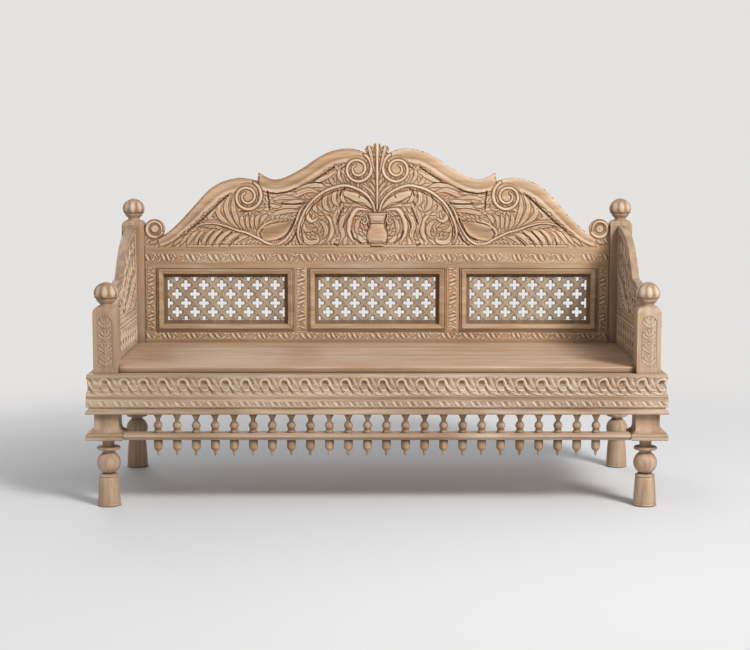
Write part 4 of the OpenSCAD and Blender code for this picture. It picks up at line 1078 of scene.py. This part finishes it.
def crest_carving():
    """The crest's face: its right half is carved stroke by stroke, and the left half mirrors it."""
    face = Carving(-crest_end, crest_end, 0, crest_h, crest_step)
    mirror = face.h.shape[1] // 2
    right = Carving(0, crest_end, 0, crest_h, crest_step)
    right.u, right.v = face.u[-(mirror + 1):], face.v
    ground = 4.6
    right.h = np.full((len(right.v), len(right.u)), ground)
    right.floor = 0.5
    uu, vv = np.meshgrid(right.u, right.v)
    stroke = right.stroke

    def leaf(points, width, height, form="vein"):
        stroke(points, np.multiply(width, (0.4, 1.1, 1.3, 1.1, 0.35)),
               np.multiply(height, (0.75, 1, 1, 1, 0.7)), form, 2)

    # rim along the two top curves: a crowned edge and a broad slope, then a quirk and a bead
    outer = np.full(uu.shape, 99.0)
    for path in (shoulder, second):
        edge = nearest(path, uu, vv)[0] * np.interp(uu, [590, 740], [1, 1.4])
        outer = np.minimum(outer, edge)
        above = np.interp(uu, path[:, 0], path[:, 1], left=-99, right=-99) + 3 > vv
        rise = np.interp(edge, [0, 3, 8, 16, 26, 31, 34, 37, 43, 50, 54, 58],
                         [6, 8.8, 9.4, 9.2, 8.2, 6.8, 6.2, 7.2, 9.2, 8.2, 5.6, 0])
        right.h = np.where(above & (edge < 58), np.maximum(right.h, rise), right.h)
    # leaves between the rim and the stem
    for points, width in (
            ([(100, 236), (112, 262), (112, 296)], 6), ([(124, 232), (140, 262), (134, 302)], 6.5),
            ([(150, 226), (170, 246), (176, 268)], 7),
            ([(151, 280), (188, 257), (232, 240), (262, 222)], 7.5),
            ([(186, 214), (212, 228), (250, 226), (304, 208)], 8),
            ([(214, 200), (250, 210), (287, 198), (330, 178), (352, 156)], 9),
            ([(300, 200), (340, 196), (370, 190), (402, 190)], 6.5),
            ([(287, 176), (343, 184), (396, 172)], 7), ([(262, 168), (300, 168), (344, 164)], 6),
            ([(270, 152), (304, 150), (345, 148), (386, 138)], 7.5),
            ([(356, 150), (378, 150), (404, 158)], 6),
            ([(284, 132), (330, 134), (372, 124), (400, 112)], 7.5),
            ([(404, 122), (420, 108), (430, 84)], 6.5), ([(428, 124), (444, 104), (446, 70)], 6.5),
            ([(458, 124), (462, 96), (460, 66)], 6.5)):
        leaf(points, width, 8.6)
    # fan under the outer volute and the leaves that hang from the outer stem
    for points, width in (
            ([(523, 200), (531, 150), (518, 100), (500, 66)], 8),
            ([(541, 196), (558, 146), (540, 98), (510, 66)], 8),
            ([(567, 172), (588, 134), (566, 98), (526, 70)], 8),
            ([(592, 142), (620, 112), (590, 90), (544, 72)], 8), ([(496, 122), (500, 96), (488, 64)], 7),
            ([(478, 122), (480, 96), (474, 62)], 6), ([(530, 66), (584, 88), (646, 96)], 6.5),
            ([(554, 66), (604, 76), (660, 80)], 6), ([(476, 42), (502, 34), (520, 20), (532, 3)], 7),
            ([(506, 54), (534, 40), (554, 22), (566, 3)], 7.5),
            ([(536, 64), (566, 44), (586, 24), (598, 3)], 7.5),
            ([(568, 68), (596, 46), (614, 24), (622, 3)], 7.2),
            ([(598, 70), (624, 46), (640, 24), (648, 3)], 7),
            ([(630, 68), (652, 46), (668, 24), (676, 3)], 7),
            ([(660, 62), (682, 42), (696, 22), (704, 3)], 6.8),
            ([(690, 50), (710, 32), (722, 18), (730, 3)], 6.2),
            ([(718, 36), (734, 24), (746, 14), (754, 3)], 5.4)):
        leaf(points, width, 8.4)
    # rolled leaves inside the arch
    for points, width, height in (
            ([(112, 220), (124, 204), (128, 180), (112, 160)], 7, 8.4),
            ([(146, 214), (158, 196), (158, 168), (140, 150)], 7.5, 8.4),
            ([(176, 204), (192, 184), (192, 152), (172, 130)], 8, 8.4),
            ([(206, 188), (226, 170), (232, 148), (220, 126)], 8, 8.4),
            ([(238, 162), (256, 138), (258, 112), (240, 96), (218, 108)], 8.5, 9),
            ([(268, 126), (276, 92), (266, 64), (240, 60)], 7.5, 8.6),
            ([(274, 62), (268, 30), (246, 16), (220, 26), (226, 50)], 8, 9),
            ([(214, 96), (196, 84), (188, 58), (200, 34)], 8, 8.8),
            ([(196, 122), (176, 104), (166, 74), (172, 40), (190, 14)], 8.5, 8.8),
            ([(148, 138), (158, 108), (150, 76), (148, 44)], 7.5, 8.4),
            ([(108, 130), (128, 104), (134, 74), (126, 44), (140, 14)], 8, 8.8),
            ([(150, 36), (164, 20), (160, 5)], 6, 8), ([(60, 112), (72, 92), (76, 66), (66, 46)], 7, 8.6),
            ([(34, 137), (72, 140), (94, 114), (104, 80), (101, 44), (82, 16)], 8.5, 9.4),
            ([(112, 40), (120, 18), (112, 5)], 6.5, 8.2), ([(70, 44), (58, 26), (40, 20)], 7.5, 9),
            ([(15, 138), (50, 152), (88, 154), (112, 144)], 5, 8)):
        leaf(points, width, height, "round" if width > 8.2 else "vein")
    # plain band beside the vase, and leaflets wherever the ground is still free
    stroke([(12, 140), (44, 165), (80, 184), (106, 194), (114, 197)], (2, 12, 18, 18, 13),
           (6, 8.4, 9, 9, 8), "flat", 2.6)
    right.fill(spacing=15, length=34, width=6.5, height=7.6, ground=ground)
    # almond in the bend of the stem, then the outer stem, the main stem and the bottom bead
    almond = curve([(318, 92), (356, 66), (400, 52), (417, 50)])
    stroke(almond, (5, 27, 34, 30), (8, 8.6, 8.8, 8.6), "scoop", 3.4)
    stroke([(380, 94), (404, 88), (426, 74), (434, 52)], (2, 3.6, 4, 2), 9, "round", 0)
    stroke([(258, 168), (282, 138), (296, 104), (310, 74), (326, 44), (346, 22), (374, 9), (404, 14),
            (428, 27), (454, 40), (484, 54), (516, 62), (560, 78), (604, 88), (648, 84), (690, 66),
            (724, 44)],
           (2, 4, 5, 5, 5, 5, 5, 5, 4.6, 4.2, 4.2, 4, 3.4, 3, 2), 10.5, "round", 2)
    stroke([(6, 122), (16, 160), (38, 192), (70, 213), (114, 227), (158, 220), (200, 202), (238, 172),
            (262, 142), (278, 110), (290, 76), (292, 44), (282, 14)],
           (3.5, 5, 5.6, 5.8, 5.8, 5.8, 5.8, 5.6, 5.4, 5, 5, 4.6, 3), 11.5, "round", 2.2)
    stroke([(0, 4), (150, 4), (700, 4)], 4, 6, "round", 1.6)
    # deep cuts
    for points, width, depth in (
            ([(160, 293), (184, 277), (206, 263), (236, 242)], 3.4, 9),
            ([(300, 216), (330, 204), (366, 198), (402, 201)], 3, 8),
            ([(548, 192), (575, 170), (601, 145), (629, 118), (664, 86), (700, 58)], 3.6, 9),
            ([(404, 206), (400, 176), (397, 140)], 3.4, 7), ([(268, 164), (306, 159), (352, 160)], 2.6, 6),
            ([(302, 104), (312, 78), (326, 56), (346, 34), (366, 27)], 3.4, 9),
            ([(300, 50), (318, 24), (338, 8)], 3.4, 8), ([(127, 144), (138, 118), (150, 86)], 3.6, 7),
            ([(133, 166), (140, 156)], 4, 6), ([(146, 192), (148, 182)], 3.6, 5),
            ([(64, 190), (68, 184)], 3.6, 5), ([(101, 118), (118, 92), (126, 74)], 3, 5.5),
            ([(30, 118), (37, 94), (31, 70)], 3.4, 7), ([(425, 66), (434, 50), (427, 34)], 3.4, 6),
            ([(120, 213), (158, 205), (196, 187), (228, 160), (252, 132), (268, 98), (279, 60), (272, 24)],
             2.4, 5),
            ([(96, 58), (85, 32), (62, 16)], 4, 7), ([(20, 134), (38, 152), (60, 164), (88, 168)], 2.6, 4),
            ([(136, 190), (132, 204), (118, 216)], 3, 6), ([(158, 12), (146, 6)], 4, 6),
            ([(36, 66), (37, 36), (34, 12)], 3, 6), ([(203, 236), (226, 238), (252, 236)], 2.6, 5),
            ([(110, 300), (134, 288), (134, 262)], 2.6, 5), ([(512, 34), (532, 22), (548, 4)], 2.8, 6),
            ([(538, 54), (562, 34), (584, 4)], 2.8, 6), ([(570, 58), (594, 34), (610, 4)], 2.8, 6),
            ([(604, 58), (624, 36), (634, 6)], 2.6, 5), ([(638, 56), (656, 34), (664, 8)], 2.6, 4.5),
            ([(470, 133), (504, 131)], 2.4, 5)):
        right.cut(points, width, depth)
    # volutes: the rim rolls in as nearly two turns of a band round a flat eye
    for centre in (inner_volute, outer_volute):
        away = np.hypot(uu - centre[0], vv - centre[1])
        right.h = np.where(away < 50, np.minimum(right.h, 6.5), right.h)
        turn = np.arange(118, 781, 8)
        r = np.interp(turn, [118, 180, 270, 360, 450, 540, 630, 720, 780],
                      [56, 51, 48, 39, 30, 28, 26, 19, 14])
        a = np.radians(turn)
        band = np.stack([centre[0] + r * np.cos(a), centre[1] + r * np.sin(a)], 1)
        right.h = np.where(away < 24, 6, right.h)
        stroke(band, (6.5, 7, 6.5, 5.8, 5.6, 5.6, 5.2, 4), 10, "round", 3)
    # end scroll: one turn of the band, a flat boss and a curl cut in it
    away = np.hypot(uu - end_scroll[0], vv - end_scroll[1])
    right.h = np.where(away < end_scroll_r + 3, 5.5, right.h)
    stroke(ring(end_scroll, 31, 205, 560, 26, 50), (7, 7, 7, 5, 3), 9, "round", 3)
    stroke([end_scroll, (end_scroll[0], end_scroll[1] + 0.1)], 16, 7.6, "flat", 4)
    right.cut(ring(end_scroll, 8, 40, 250, 4), 2.4, 1.4)
    # finial between the inner volutes, and the palmette under it
    for points in ([(4, 176), (20, 202), (40, 220), (62, 232)], [(4, 200), (18, 224), (32, 240)],
                   [(4, 222), (12, 242), (20, 256)]):
        leaf(points, 4.6, 9)
    stroke([(9, 277), (15, 303), (22, 336), (30, 366)], (1.8, 3.8, 5, 7, 6), 10.5, "vein")
    stroke([(0, 380), (0, 345), (0, 300), (0, 250), (0, 142)], (7.5, 6.5, 5.5, 5, 4), 12, "round")
    # vase, rounded across, with a curl beside it and four rings round it
    vase = [(22, 14), (34, 24), (38, 40), (36, 54), (27, 72), (24, 88), (27, 104), (32, 116), (31, 127)]
    half_w = np.interp(vv, [z for _, z in vase], [half for half, _ in vase])
    body = (vv > 14) & (vv < 128) & (uu < half_w)
    swell = np.sqrt(np.clip(1 - (uu / np.maximum(half_w, 1)) ** 2, 0, 1))
    around = (vv > 10) & (vv < 132) & (uu < half_w + 3.5) & ~body
    right.h[around] = 1.5
    right.h[body] = (4 + 8 * swell)[body]
    stroke([(59, 96), (44, 86), (36, 100), (40, 118)], (3, 3.4, 3), 10, "round", 1.6)
    for z, w in ((8, 24), (122, 33), (92, 25), (20, 20)):
        stroke([(0, z), (w - 3, z)], 3.4, 12.5, "round", 1.4)

    face.h[:, -(mirror + 1):] = right.h
    face.h[:, :mirror + 1] = right.h[:, ::-1]
    # the wood is darker low down, more so on the left, and in the two almonds
    x, z = np.meshgrid(face.u, face.v)
    low = np.clip((150 - z) / 60, 0, 1) * np.interp(x, [-700, -560, -120, 0, 200], [0, 1, 1, 0.5, 0.2])
    in_almond = np.clip((26 - nearest(almond, np.abs(x), z)[0]) / 8, 0, 1)
    face.darkening = 0.1 * low + 0.13 * in_almond
    # and the outer edge of the left half is darker: painted shade on the slopes that face away from the light
    face.darkening[:, :mirror + 1] += 0.45 * np.clip((12 - outer[:, ::-1]) / 5, 0, 1)
    return face


mesh = carved_solid("crest", crest_carving(), crest_outline(), -crest_t,
                    lambda p: np.column_stack([p[:, 0], crest_y - p[:, 2], crest_z + p[:, 1]]), depth_reach=6)
wood_crest = washed_wood("washed_crest_along_x", light=(0.645, 0.44, 0.27), dark=(0.46, 0.295, 0.17),
                         grain=0, carved=True)
piece("carved_crest", mesh, wood_crest, ["crest"], crease=50)
finish_nodes(wood_z, "crest_dowels")
